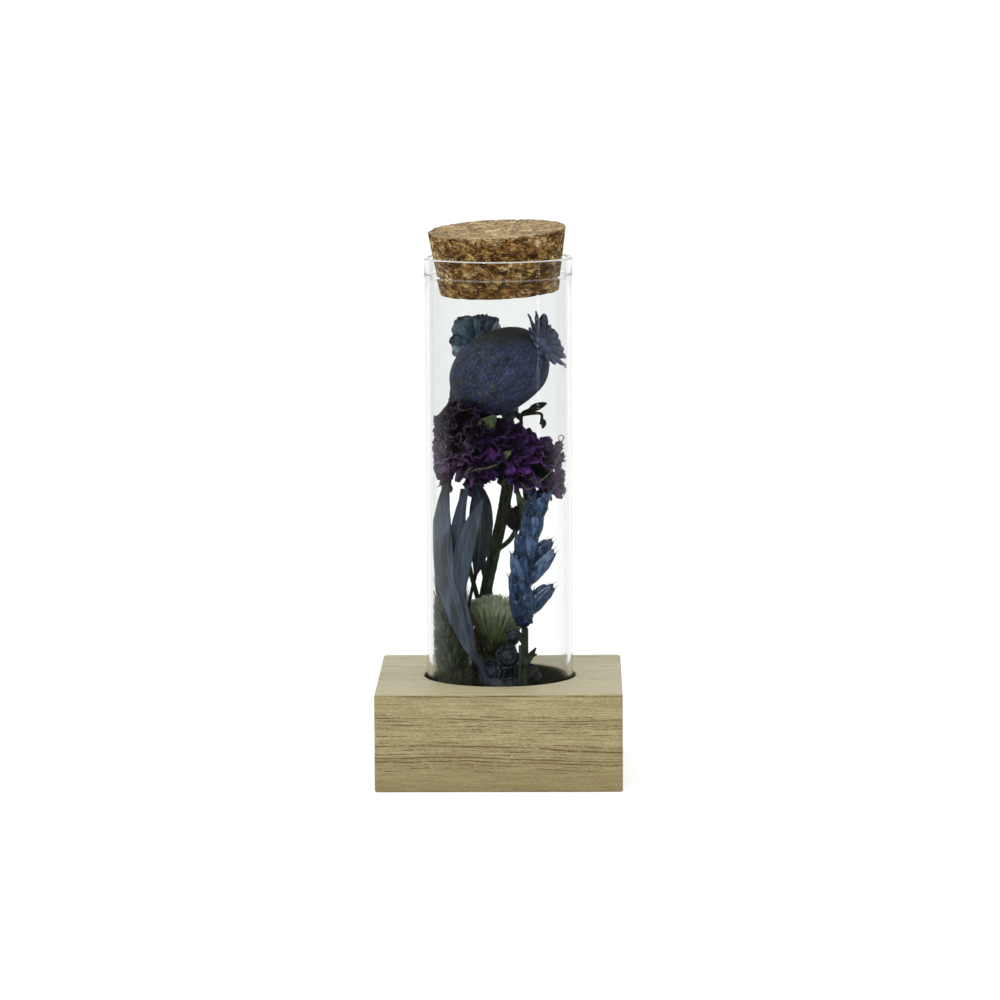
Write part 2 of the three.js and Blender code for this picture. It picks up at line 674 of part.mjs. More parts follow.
function brushBase() {
  const [side, other] = across(BRUSH_AXIS);
  const cup = loft([[0, 1.1], [1.2, 2.5], [3, 3.2], [4.8, 2.9]].map(([at, radius]) => ringAt(
    BRUSH_FOOT.clone().addScaledVector(BRUSH_AXIS, at), BRUSH_AXIS, radius, 10,
  )));
  const scales = [];
  BRUSH_SCALE_ROWS.forEach(({ at, count, radius }, row) => {
    for (let i = 0; i < count; i += 1) {
      const angle = (2 * Math.PI * (i + row / 2)) / count;
      const radial = side.clone().multiplyScalar(Math.cos(angle)).addScaledVector(other, Math.sin(angle));
      scales.push(petal({
        base: BRUSH_FOOT.clone().addScaledVector(BRUSH_AXIS, at).addScaledVector(radial, radius),
        along: BRUSH_AXIS.clone().addScaledVector(radial, 0.22).normalize(),
        face: radial,
        length: BRUSH_SCALE_LENGTH,
        width: 1.9,
        curl: 0.05,
        rows: 3,
        pointed: 0.7,
      }));
    }
  });
  const stem = rod([v(-2.2, 2.4, 21), v(-1.6, 2.8, 14), v(-0.8, 3.2, FLOOR)], 0.8, 6, 3);
  return fuse([cup, stem, ...scales]);
}

function brushFlorets() {
  const [side, other] = across(BRUSH_AXIS, v(0, 1, 0));
  const foot = BRUSH_FOOT.clone().addScaledVector(BRUSH_AXIS, BRUSH_BASE_TOP - BRUSH_FOOT.z + CLEAR);
  const spoke = (angle, flat) => side.clone().multiplyScalar(Math.cos(angle))
    .addScaledVector(other, flat * Math.sin(angle));
  const core = loft([[0, 2.3, 2.3], [3.4, 3.6, 2.8], [6.4, 4.2, 3]].map(([at, wide, deep]) => (
    Array.from({ length: 9 }, (_, i) => foot.clone()
      .addScaledVector(BRUSH_AXIS, at)
      .addScaledVector(spoke((2 * Math.PI * i) / 9, deep / wide), wide)))));
  const random = draws(23);
  const florets = Array.from({ length: FLORETS }, (_, i) => {
    const share = Math.sqrt((i + 0.5) / FLORETS);
    const radial = spoke(i * GOLDEN_ANGLE, FLORET_FLATNESS);
    const along = BRUSH_AXIS.clone().addScaledVector(radial, FLORET_SPREAD * share).normalize();
    const start = foot.clone().addScaledVector(radial, 2 * share).addScaledVector(BRUSH_AXIS, 0.5);
    const end = start.clone().addScaledVector(along, random(8.8, 10.6) * (1 - 0.14 * share));
    return loft([ringAt(start, along, FLORET_FOOT, 3), ringAt(end, along, FLORET_MOUTH, 3)]);
  });
  return fuse([core, ...florets]);
}

// Small dark blue blooms: a ruffled cup round a bud each, on a shared branching stem
const BLUE_BLOOMS = [
  [v(2.8, -3, 28.4), v(0.1, -0.5, 1), 1.6], [v(1.2, -4.6, 24.2), v(0, -0.9, 0.5), 2.3],
  [v(-1.3, -4.6, 20.6), v(-0.3, -0.9, 0.3), 2.3], [v(1.4, -5, 18.2), v(0.3, -0.9, 0.3), 2.1],
  [v(6, -2.6, 20.2), v(0.4, -0.6, 0.7), 1.9],
];

function blueBlooms() {
  const fork = v(2.4, -1.6, 13);
  const solids = [rod([v(2.6, -1.6, FLOOR), fork], 0.8, 6, 2)];
  BLUE_BLOOMS.forEach(([middle, toward, radius]) => {
    const direction = toward.clone().normalize();
    const back = middle.clone().addScaledVector(direction, -radius * 0.75);
    const rim = middle.clone().addScaledVector(direction, radius * 0.45);
    solids.push(rod([fork, fork.clone().lerp(back, 0.55).add(v(0, 0.5, 0)), back], 0.5, 4, 3));
    solids.push(trumpet({ mouth: rim, from: back, radius }));
    solids.push(loft([[-0.5, 0.5], [0.3, 0.6], [0.7, 0.22]].map(([at, r]) => ringAt(
      middle.clone().addScaledVector(direction, at * radius), direction, r * radius, 6,
    ))));
  });
  return fuse(solids);
}

// Fuzzy grass ear: a core on a culm, with bristles that stand out and up all round
const GRASS_AXIS = [v(-8.8, 0.2, 13), v(-9.6, -0.4, 20), v(-9.9, -0.8, 27), v(-10, -1, 34), v(-10, -1, 40.6)];
const BRISTLES = 50;
const BRISTLE_ROOT = 0.65;
const BRISTLE_TIP = 0.25;

function grassEar() {
  const random = draws(7);
  const curve = new THREE.CatmullRomCurve3(GRASS_AXIS);
  const thick = (t) => 1.1 + 2 * Math.sin(Math.PI * (0.12 + 0.76 * t)) ** 0.7;
  const core = rod(GRASS_AXIS, thick, 9, 8);
  const culm = rod([v(-8.8, 0.2, 14), v(-8.4, 0.8, 11), v(-8, 1.4, FLOOR)], 0.7, 6, 3);
  const bristles = [];
  for (let i = 0; i < BRISTLES; i += 1) {
    const t = 0.03 + (0.93 * (i + 0.5)) / BRISTLES;
    const angle = i * GOLDEN_ANGLE;
    const out = v(Math.cos(angle), Math.sin(angle), 0);
    const along = out.clone().addScaledVector(UP, random(1.3, 1.9)).normalize();
    const start = curve.getPointAt(t).addScaledVector(out, thick(t) * 0.75);
    const end = insideGlass(start.clone().addScaledVector(along, random(2.8, 3.4)));
    bristles.push(loft([ringAt(start, along, BRISTLE_ROOT, 3), ringAt(end, along, BRISTLE_TIP, 3)]));
  }
  return fuse([core, culm, ...bristles]);
}

const pieces = [
  meshOf('wood_block', woodenBlock(), 0xb9ab7c, 0.75),
  meshOf('glass_tube', glassTube(), 0xeef2f2, 0.05),
  meshOf('cork_stopper', corkStopper(), 0x96713f, 0.9),
  meshOf('poppy_capsule', poppyCapsule(), 0x3c4262, 0.7),
  meshOf('teal_head', tealHead(), 0x243c4c, 0.5),
  meshOf('small_bud', smallBud(), 0x3c5563, 0.7),
  meshOf('statice_calyces', staticeCalyces(), 0x3a1c4e, 0.85),
  meshOf('statice_stem', staticeStem(), 0x2c3f1e),
  meshOf('young_calyx', youngCalyx(), 0x2a1a26),
  meshOf('dark_twig', darkTwig(), 0x1f2a18),
  meshOf('leafy_sprig', leafySprig(), 0x434b5a, 0.65),
  meshOf('wheat_ear', wheatEar(), 0x2d3e5e, 0.55),
  meshOf('wheat_straws', wheatStraws(), 0x34482c),
  meshOf('brush_base', brushBase(), 0x2c3824),
  meshOf('brush_florets', brushFlorets(), 0x6c7c5c),
  meshOf('blue_blooms', blueBlooms(), 0x222a3e, 0.8),
  meshOf('grass_ear', grassEar(), 0x4a5442),
];

const object = new THREE.Group();
pieces.forEach((mesh) => object.add(mesh));

export default object;
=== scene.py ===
"""Looks of the dried flowers in a corked glass tube on a wooden block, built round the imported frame.

Shapes are worked out in millimetres in the frame's axes and turned into metres when a piece is made.
"""

import math

import bpy
import numpy as np
from mathutils import Matrix, Vector, noise


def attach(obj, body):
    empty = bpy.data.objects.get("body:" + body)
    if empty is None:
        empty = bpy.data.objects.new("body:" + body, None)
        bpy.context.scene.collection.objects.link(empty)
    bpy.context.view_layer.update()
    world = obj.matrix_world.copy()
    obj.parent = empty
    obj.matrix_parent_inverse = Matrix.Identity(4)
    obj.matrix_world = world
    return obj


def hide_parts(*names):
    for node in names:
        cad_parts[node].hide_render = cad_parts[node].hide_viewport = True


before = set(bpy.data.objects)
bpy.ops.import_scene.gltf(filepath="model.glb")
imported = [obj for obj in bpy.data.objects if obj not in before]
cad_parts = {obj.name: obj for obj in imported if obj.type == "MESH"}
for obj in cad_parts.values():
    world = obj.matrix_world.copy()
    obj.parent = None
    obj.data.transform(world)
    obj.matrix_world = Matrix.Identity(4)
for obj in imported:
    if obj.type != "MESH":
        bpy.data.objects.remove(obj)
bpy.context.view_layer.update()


def vec(*numbers):
    return np.array(numbers, float)


def unit(v):
    """Vectors along the last axis, each one long."""
    return v / np.maximum(np.linalg.norm(v, axis=-1, keepdims=True), 1e-9)


MM = 0.001
TAU = 2 * math.pi
GOLDEN_ANGLE = 2.39996
PATH_POINTS = 201
UP = vec(0, 0, 1)
LEVEL = (vec(1, 0, 0), vec(0, 1, 0))
# Directions that fix how a rod and a hair are turned about themselves
ROD_SIDE = vec(0.31, -0.9, 0.28)
HAIR_SIDE = vec(0.3, -0.8, 0.52)

# Camera, at the angle of the photograph
CAMERA_PLACE = (0.01549, -0.95936, 0.18034)
CAMERA_AZIMUTH = 0.016
CAMERA_PITCH = 0.12875
CAMERA_ROLL = -0.005
CAMERA_LENS = 169.9
SENSOR = 36
NEAREST = 0.01

# Block
BLOCK_SIDE = 50
BLOCK_HEIGHT = 20
BLOCK_EDGE = 0.45
HOLE_RADIUS = 15.6
HOLE_FLOOR = 6.2
WOOD_CORNER = 0.5
SIDE_POINTS = 26
CORNER_POINTS = 7
WALL_ROWS = 22
RIM_ROWS = 9
HOLE_ROWS = 14
# Least and most share of the wood that the glass mirrors dark, from its back to its front
DIMMED_WOOD = (0.1, 0.85)
DIM = (0.02, 0.02, 0.015, 1)
WOOD_LINE_GAP = 0.66
WOOD_EDGE = 0.778
WOOD_SPAN = 32.0
# Places along the growth of the wood, and how rich in pores the wood is there
WOOD_BANDS = [
    (0, 0.2), (3.6, 0.25), (5.6, 0.9), (7.6, 1), (8.6, 0.2), (12, 0.25), (14.6, 0.8), (15.4, 1),
    (16.4, 0.3), (17.4, 0.9), (18.4, 0.25), (22.4, 0.6), (23.6, 0.8), (24.4, 0.15), (31, 0.3),
]

# Tube, with the thickness of its wall
TUBE_RADIUS = 15
TUBE_BOTTOM = 6.5
TUBE_RIM = 106.1
WALL = 1
HEEL = 1.4
COLLAR_HEIGHT = 3.8
COLLAR_STEP = 0.12
TUBE_SIDES = 192
# How low the stems reach, and how far from the axis any plant may reach
FLOOR = TUBE_BOTTOM + WALL + 0.3
ROOM = TUBE_RADIUS - WALL - 0.25
# Least half width of a leaf
LEAF_ENDS = 0.16
# Shares of matt white on the rim and on the seam below the collar, painted highlight lines
RIM_HIGHLIGHT = 0.5
SEAM_HIGHLIGHT = 0.12
GLASS_TINT = (0.965, 0.98, 0.972, 1)
GLASS_BENDING = 1.47
HIGHLIGHT_WHITE = (0.9, 0.92, 0.91, 1)

# Cork
CORK_TOP_RADIUS = 14.1
CORK_BOTTOM_RADIUS = 12.05
CORK_HEIGHT = 12.7
CORK_MIDDLE = vec(0, 0, 105.5)
CORK_LEAN_RIGHT = math.radians(-2.4)
CORK_LEAN_FORWARD = math.radians(3.7)
CORK_SIDES = 320
CORK_ROWS = 70
CORK_TOP_ROWS = 46
GRAIN = (1.9, 1.9, 1.0)
GRAIN_GAP = 0.16
# Size and turn of the flakes, and the size of the noise that bends them
CORK_FLAKES = [((3.1, 3.1, 1.6), (0.2, 0.15, 0), 1.3), ((1.3, 1.3, 0.75), (0.5, -0.2, 0.6), 0.8)]

# Poppy capsule. A profile gives places along an axis and the radii there
CAPSULE = vec(0.1, -0.9, 82.7)
CAPSULE_AXIS = unit(vec(0.855, -0.1, 0.51))
CAPSULE_PROFILE = [
    (-11.2, 1.3), (-10.4, 2.3), (-9.2, 4.5), (-7.6, 6.1), (-5.2, 7.5), (-2.4, 8.2),
    (0.8, 8.3), (4, 7.8), (6.6, 6.9), (8.4, 5.6), (9.6, 4.2),
]
CAPSULE_HALF = 11.6
CAPSULE_GIRTH = 8.5
CAPSULE_RIBS = 11
CAPSULE_ROWS = 72
CAPSULE_SIDES = 120
POPPY_STEM = [
    (-8.9, 0.2, 77.2), (-9.2, 1.2, 75.4), (-9.8, 3.2, 73), (-11, 4.9, 69.6), (-11.3, 5.4, 64),
    (-11.4, 5.2, 56), (-11, 6, 44), (-9.4, 7.6, 30), (-7.8, 7.6, 18), (-7.2, 7.2, FLOOR),
]
POPPY_COLLAR = [(-8.9, 0.2, 77.3), (-9.1, 0.6, 76.6), (-9.2, 1.1, 75.8)]
CROWN_AXIS = unit(vec(0.68, -0.52, 0.52))
CROWN_WEB = 4.0
CROWN_HUB = 10.4
CROWN_ROWS = 30
CROWN_SIDES = 300
CROWN_BASE = [(-2.2, 3.2), (-1.2, 3.0), (-0.2, 2.8), (0.5, 2.3), (0.9, 1.5), (1.0, 0.6)]
# Angle, reach, half width in radians and roundness of each lobe of the crown
CROWN_LOBES = [
    (116, 7.5, 0.15, 0.9), (91, 7.0, 0.2, 1.1), (69, 6.6, 0.3, 2.4), (47, 5.0, 0.22, 2.4),
    (26, 4.9, 0.36, 4.0), (2, 4.4, 0.32, 4.0), (335, 4.7, 0.3, 3.0), (313, 5.3, 0.26, 1.6),
    (281, 6.4, 0.26, 0.9), (258, 5.0, 0.24, 2.0), (235, 4.6, 0.26, 2.4), (208, 4.5, 0.26, 2.4),
    (180, 4.6, 0.26, 2.4), (156, 5.0, 0.24, 2.2), (138, 5.6, 0.2, 1.6),
]

# Teal head
TEAL_MIDDLE = vec(-4.2, 5.6, 88.2)
TEAL_FACE = unit(vec(-0.42, 0.72, 0.55))
# Lengths of the petals, their width, how much they rise, their turn and their curl, by layer
TEAL_LAYERS = [
    ((5.1, 6.4, 5.1, 5.2, 5.6, 5.6, 5.5, 5.1), 5.7, 0.12, -0.12, 0.22),
    ((4.4, 4.7, 4.5, 4.2, 4.6, 4.4, 4.7), 3.6, 0.42, 0.5, 0.2),
    ((4.0, 3.8, 4.0, 3.9, 4.0), 3.0, 0.9, 0.2, 0.12),
    ((3.0, 3.1, 2.9), 2.2, 1.6, 0.4, 0.05),
]
TEAL_SPIKE = TAU * 0.26
TEAL_STEM = [
    (-4.4, 6.4, 87.4), (-4.8, 8.6, 84.6), (-5, 9.5, 80), (-5, 9.6, 68), (-4.9, 9.5, 58), (-4.2, 9.6, 45),
    (-2.2, 9.8, 34), (-1.6, 9.8, 20), (-1.6, 9.6, FLOOR),
]
TEAL_HEART = [(-0.6, 1.3), (0.1, 1.8), (0.8, 1.9), (1.4, 1.5), (1.8, 0.9)]
TEAL_COLUMNS = 15

# Small bud
SMALL_BUD = vec(2, 6.2, 74.2)
SMALL_BUD_STEM = [
    (2.2, 6.3, 72.6), (3.2, 7.2, 69), (4.6, 8, 64), (5.6, 8.3, 52), (5.2, 8.3, 35), (4.2, 8.1, FLOOR),
]
BUD_AXIS = unit(vec(-0.12, -0.1, 1))
BUD_HEART = [(-2.4, 0.5), (-1.8, 1.3), (-1.1, 1.75), (-0.3, 1.9), (0.6, 1.78), (1.4, 1.35), (2.1, 0.7)]
BUD_LEAVES = 6

# Calyces of the statice: core, reach, number of calyces and turn of each branch
STATICE_BRANCHES = [
    (((-7.2, -2.2, 63.6), (-7.2, -2.8, 69), (-7.6, -4.6, 73.8)), 6.4, 14, 0.4),
    (((-6, -2.6, 66.8), (-2, -3.2, 67.8), (2, -3, 67.4)), 6.3, 8, 1.3),
    (((2, -3, 67), (6, -2.8, 64.8), (10, -1.3, 62)), 5.6, 13, 2.2),
]
BRANCH_RADIUS = 2.6
CALYX_ROOT = 1.3
CALYX_RADIUS = 2.7
BACK_REACH = 0.86
END_LEAN = 1.1
MOUTH_ROOM = 13.4
# Boxes that the mouths of the calyces leave free for other flowers
ROOMS = [
    ((2.6, -11, 50), (11, -3, 60.4)),
    ((-3, -4.6, 50), (6, 4.6, 61.4)),
    ((-11.5, -1.4, 73), (-6, 4, 80)),
]
# Places along X, and how high the spray reaches there
SHOULDER = ((-14, -9.5, -4.8, -2.8, 0.3, 4.2, 5.2), (71.8, 77, 76.6, 76, 73.2, 72.8, 90))
# Root, mouth and radius of the calyces that close the spray below the capsule
EXTRA_CALYCES = [
    ((-7.6, -3.6, 71), (-9.4, -6.4, 76.6), 2.2), ((-8.4, -3, 70.6), (-11.4, -4.6, 73.2), 2.2),
    ((-3.4, -3.4, 68), (-3.6, -6.2, 73.4), 2.4),
]
FRILLS = 10
# Limits of the draws for one frill: turn, spread, depth, lean, size, broadness, curl, cup, ruffle,
# waves, phase, crumple and tone
FRILL_DRAWS = [
    (0, 1), (0.3, 0.85), (0.9, 1.6), (0.1, 1.1), (1.1, 2.1), (0.9, 1.3), (-0.3, 0.4), (-0.3, 0.4),
    (0.2, 0.5), (1, 2.2), (0, 6), (0, 90), (0, 0.5),
]

# Stem of the statice, its branches and bracts, the young calyx and the dark twig
STATICE_STEM = [
    (1.9, 0.4, 61.2), (1.5, 1.4, 57.6), (-0.1, 4, 49.4), (-1.7, 5.8, 42.4), (-3.4, 7.4, 34.2),
    (-4.8, 8.2, 24), (-4.8, 8.2, FLOOR),
]
STATICE_SIDE_BRANCH = [
    (-2.6, 6.2, 43.6), (1.6, 3.6, 46.9), (3.1, 1.6, 49.2), (4.7, 0.4, 52.4), (4.5, -0.6, 55.6),
    (3.6, -1.6, 58.4), (3.6, -2, 60.6),
]
STATICE_LEFT_BRANCH = [
    (-7.4, -1.6, 58.6), (-7.9, -1, 55), (-7.6, 1, 49), (-6.2, 4.6, 41), (-4.6, 7.6, 34),
]
BRACT = [(2.9, 1.8, 49), (4.6, 0.2, 52), (4.7, -0.9, 55), (3.6, -2, 58.2)]
# Thin tendrils and stalks that show in front of the heads, with their radius
TENDRILS = [
    ([(-6.6, -8.6, 62.6), (-4.6, -9.4, 63.6), (-2, -9.6, 64), (0.4, -9.2, 65), (2.2, -8.4, 66)], 0.22),
    ([(4.6, -9.0, 60.4), (6.0, -9.6, 59.6), (7.4, -9.6, 60.4), (7.2, -9.4, 62), (6.0, -9.4, 61.4)], 0.16),
    ([(7.2, -9.4, 60.6), (9.6, -8.8, 62.2), (11.4, -7.2, 64.6), (12.4, -5.6, 67.6)], 0.15),
    ([(12.0, -4.2, 67.0), (12.6, -4.2, 68.8), (12.9, -4.3, 69.5), (12.4, -4.3, 70), (11.9, -4.2, 69.4),
      (12.3, -4.1, 68.8)], 0.13),
    ([(0.4, -3.4, 59.6), (1.2, -3.8, 60.8), (3.2, -4.4, 60.6), (5.2, -6.4, 60.2)], 0.24),
]
GREEN_BRACTS = [
    ([(-3.6, -6.6, 71.2), (-2.6, -8.0, 72.6), (-1.4, -8.6, 73.6), (-0.4, -8.2, 74.4)],
     3.2, (0.2, -1, -0.3)),
    ([(-0.2, -8.2, 65.4), (1.2, -8.9, 66.4), (2.6, -8.8, 67.2)], 1.6, (0, -1, 0.2)),
]
YOUNG_CALYX = [(3.3, -0.2, 50.2), (2.5, -1, 52), (3.1, -1.6, 54.6)]
YOUNG_PETALS = 11
TWIGS = [
    [(4.5, -0.5, 71.6), (4.8, -0.6, 74), (7, -0.8, 75), (9.5, -1, 76)],
    [(4.8, -0.6, 73.8), (7, -0.8, 74.1), (8.7, -1, 73.9), (8.5, -0.8, 71.8)],
]
TWIG_BRACTS = [
    ([(5.6, -0.7, 74.3), (7.4, -0.9, 75.3), (9.8, -1, 76.2)], 1.6, (0, -1, 0.2)),
    ([(4.6, -0.7, 72.6), (3.8, -1.0, 73.8), (3.3, -1.2, 74.6)], 1.2, (0.2, -1, 0.1)),
    ([(8.6, -0.9, 73.2), (9.1, -1.0, 72.2), (8.9, -1.1, 71.0)], 1.1, (0.1, -1, 0)),
]

# Leafy sprig
SPRIG_FOOT = [(-0.8, -8.4, FLOOR), (-1.4, -8.2, 13), (-2.2, -7.8, 18.4), (-4.4, -7.6, 25)]
# Midrib, width, face, widest place, stalk, tone and wave of each leaf
LEAVES = [
    (((-2.2, -8.2, 18), (-6, -8.8, 30), (-7.5, -8.9, 38.5), (-7.1, -8.8, 46.2), (-5.4, -8.2, 52),
      (-3.2, -7.2, 57.4)), 4, (0.25, -1, 0), 0.72, 0.48, 0.62, 0.1),
    (((-2.2, -7.9, 17.6), (-3.9, -8, 22.5), (-6, -7.8, 27.4), (-7.9, -7.4, 33.4), (-10.2, -6.4, 41.6),
      (-11.3, -5.2, 48), (-11.2, -4.8, 53), (-10.9, -4.6, 58), (-10.4, -4.4, 60.6)),
     5.6, (-0.4, -0.9, 0), 0.5, 0.14, 0.72, 0.25),
    (((-3.4, -7.2, 22), (-6.8, -5.8, 31), (-8.8, -5.6, 42), (-8.3, -5.8, 50), (-7.4, -5.8, 56),
      (-6, -5.6, 60.4)), 3.4, (-0.1, -1, 0), 0.6, 0.2, 0.55, 0.15),
    (((-3.2, -7.4, 21.6), (-6.6, -6.8, 30), (-9.2, -6.6, 38), (-10.2, -6.2, 46), (-9.9, -5.4, 53)),
     4, (-0.5, -0.9, 0), 0.6, 0.2, 0.45, 0.2),
    (((-3.4, -7, 21), (-6.4, -5.6, 28), (-6, -4.8, 36), (-4.3, -4, 44), (-3.8, -3.8, 51),
      (-3.9, -4, 57), (-5, -4.2, 61)), 5.0, (0.1, -1, 0), 0.78, 0.52, 0.1, 0.25),
    (((-2, -8, 17), (-1.6, -9.2, 19.6), (-0.2, -10.2, 19.6), (1.6, -10.6, 18.4)),
     2.2, (0, -1, 0.3), 0.4, 0.05, 0.3, 0.05),
]

# Ear of wheat
EAR_AXIS = [
    (5.1, -6.5, 31.4), (4.5, -6.5, 35), (4.4, -6.5, 40), (5.1, -6.5, 45), (6.2, -6.5, 49.6),
    (7.1, -6.4, 53.2),
]
EAR_ROWS = 6
SCALE_LENGTH = 7
SCALE_WIDTH = 4.1
# Foot, tip and width of the spikelets that are placed one by one
EAR_TIPS = [
    ((6, -6.5, 43), (10.8, -6.6, 49.4), 3.4),
    ((5.6, -6.5, 39.6), (11.3, -6.6, 47.4), 3.8),
    ((5, -6.5, 33), (11.2, -6.6, 40.2), 4), ((6.8, -6.5, 51), (6.1, -6.8, 57.2), 3.0),
]
# Turn, share of the length and shift of the three husks of a spikelet, and their shares of the width
HUSKS = [(0, 1, 0, 0.86), (0.55, 0.9, 0.5, 0.7), (-0.55, 0.86, 0.3, 0.66)]
EAR_SIDES = [vec(-1, -0.25, 0), vec(1, -0.3, 0), vec(0.1, -1, 0), vec(0, 1, 0)]
EAR_HAIRS = 900

# Green straws below the ear
STRAWS = [
    [(5.2, -6.5, 30.6), (5.2, -6.5, 22), (5, -6.6, 14), (4.8, -6.6, FLOOR)],
    [(4.4, -6.2, 27), (4.2, -6.3, 20), (4, -6.5, 14), (4.1, -6.5, FLOOR)],
]
STRAW_KNOT = [(4.9, -6.45, 24.4), (5.1, -6.5, 23.6), (5.1, -6.5, 22.8)]
# Place, direction, length, width and tone of the small bracts on the straws
STRAW_BRACTS = [
    ((5.2, -6.6, 23.2), (0.62, -0.1, 1), 4.2, 1.6, 0.7),
    ((5.3, -6.6, 24.6), (1, -0.1, 0.25), 2.4, 1.1, 0.3),
    ((5.3, -6.5, 20.2), (0.8, 0, 0.9), 3.0, 1.2, 0.2), ((4.9, -6.9, 27.4), (-0.4, -0.2, 1), 3.2, 1.3, 0.5),
    ((4.6, -6.8, 17), (-0.6, -0.2, 1), 3.4, 1.4, 0.1), ((5.3, -6.6, 15.4), (0.9, -0.2, 0.5), 3.2, 1.5, 0.1),
]

# Brush-like head
BRUSH_FOOT = vec(-2.2, 2.4, 20.4)
BRUSH_AXIS = unit(vec(0.14, -0.08, 1))
BRUSH_BASE_TOP = 25.6
FLORET_SPREAD = 0.72
FLORET_FLATNESS = 0.5
# Height, number and distance from the axis of the scales in each row
BRUSH_SCALES = [(0.3, 7, 1.3), (1.3, 9, 2.1), (2.4, 11, 2.5)]
BRUSH_BRACTS = 90
BRUSH_BASE = [(0, 1.1), (0.5, 1.9), (1.2, 2.5), (2, 3), (3, 3.2), (4, 3.1), (4.8, 2.9)]
# Limits of the draws for one bract: lean, length, width, curl, phase and tone
BRACT_DRAWS = [(0.25, 0.8), (3.6, 6.4), (0.5, 0.9), (-0.1, 0.25), (0, 6), (0, 1)]
BRUSH_STEM = [(-2.2, 2.4, 21), (-1.6, 2.8, 14), (-0.8, 3.2, FLOOR)]
FLORETS = 1500
# Places along the axis and the two radii of the fan's core
FLORET_CORE = [(0, 2.1, 2.1), (2, 2.7, 2.2), (4, 3.3, 2.4), (5.6, 3.6, 2.5)]

# Blue blooms: middle, direction and radius
BLUE_BLOOMS = [
    ((2.8, -3, 28.4), (0.1, -0.5, 1), 1.6), ((1.6, -4.6, 24.2), (0, -0.9, 0.5), 2.5),
    ((-1.5, -4.8, 21), (-0.3, -0.9, 0.3), 2.8), ((1.6, -5, 18.2), (0.3, -0.9, 0.3), 2.5),
    ((6.2, -2.6, 20.6), (0.4, -0.6, 0.7), 2.2),
]
FORK = vec(2.4, -1.6, 13)
BLOOM_HEART = [(-0.8, 0.25), (-0.5, 0.6), (0, 0.7), (0.4, 0.55), (0.7, 0.22)]
# Number, lean and length of the petals, by layer
BLOOM_LAYERS = [(7, 1.2, 1.15), (6, 0.75, 1.2), (5, 0.4, 1.2), (4, 0.15, 1.1)]

# Grass ear
GRASS_AXIS = [(-8.8, 0.2, 13), (-9.6, -0.4, 20), (-9.9, -0.8, 27), (-10, -1, 34), (-10, -1, 40.6)]
GRASS_CULM = [(-8.8, 0.2, 14), (-8.4, 0.8, 11), (-8, 1.4, FLOOR)]
BRISTLES = 2600

# Painted shade on plants low in the tube: how dark it gets, and between which heights it comes in
DEEP_SHADE = 0.6
SHADED_HEIGHTS = (22.0, 14.0)

# Stage. The mirrored strengths are what shining surfaces show of the room
FLOOR_SIZE = ((-0.9, -0.25), (0.9, 0.5))
FLOOR_GREYS = (0.46, 0.52)
FLOOR_GLOW = 0.55
WHITE = (1, 1, 1, 1)
BOUNCES = 16
FRONT_LIGHT = 0.14
ROUND_LIGHT = 0.7
BACK_LIGHT = 1.03
TOP_LIGHT = 1.5
MIRROR_FRONT = 0.025
MIRROR_SIDE = 0.28
MIRROR_BACK = 0.75
# Strength of the room in what is seen straight or through clear glass
SEEN_ROOM = 1.05
LAMP_TARGET = (0, 0, 0.06)
# Name, place, size in metres and power of each lamp
LAMPS = [
    ("lamp_left", (-0.6, -0.9, 1.1), (1.0, 1.0), 5.5),
    ("lamp_right", (0.273, -0.124, 0.0665), (0.004, 0.06), 0.0045),
    ("lamp_spark", (-0.28, -0.6, 0.55), (0.08, 0.08), 0.9),
]


class Draws:
    """Seeded draws, the same ones as in the solids."""

    def __init__(self, seed):
        self.state = seed

    def __call__(self, low=0.0, high=1.0):
        self.state = (self.state * 16807) % 2147483647
        return low + (high - low) * self.state / 2147483647

    def many(self, count, low, high):
        return np.array([self(low, high) for _ in range(count)])

    def each(self, spans):
        """One draw from each pair of limits."""
        return [self(*span) for span in spans]


def inside_glass(points, room=ROOM):
    """The points, or the nearest ones that the glass leaves free."""
    share = np.minimum(1, room / np.maximum(np.hypot(points[..., 0], points[..., 1]), 1e-6))
    return points * np.stack([share, share, np.ones_like(share)], -1)


def fitted(points, room=ROOM):
    """The points, or the nearest ones that the capsule and the glass leave free."""
    off = points - CAPSULE
    along = off @ CAPSULE_AXIS
    beside = np.sqrt(np.maximum((off * off).sum(-1) - along * along, 0))
    share = np.hypot(along / CAPSULE_HALF, beside / CAPSULE_GIRTH)
    return inside_glass(CAPSULE + off / np.clip(share, 0.05, 1)[..., None], room)


def across(direction, near=UP):
    """Two directions square to a third."""
    side = np.cross(near, direction)
    if side @ side < 1e-4:
        side = np.cross(vec(0, 1, 0), direction)
    side = unit(side)
    return side, unit(np.cross(direction, side))


def around(middle, axes, radius, angle):
    """Points at radii and angles round a middle, in the plane of two directions."""
    side, other = axes
    return middle + (radius * np.cos(angle))[..., None] * side + (radius * np.sin(angle))[..., None] * other


def ray(axes, angle):
    """Direction at an angle in the plane of two others."""
    return around(0, axes, 1, angle)


def circle(radius, z, angles):
    """Ring round the tube's axis."""
    return around(vec(0, 0, z), LEVEL, radius, angles)


def turns(count):
    """Even angles round a circle."""
    return np.arange(count) * TAU / count


def arc(centre, radius, start, end, count):
    """Points (distance from the axis, height) along an arc, from and to angles in degrees."""
    angles = np.radians(np.linspace(start, end, count))
    return [(centre[0] + radius * math.cos(a), centre[1] + radius * math.sin(a)) for a in angles]


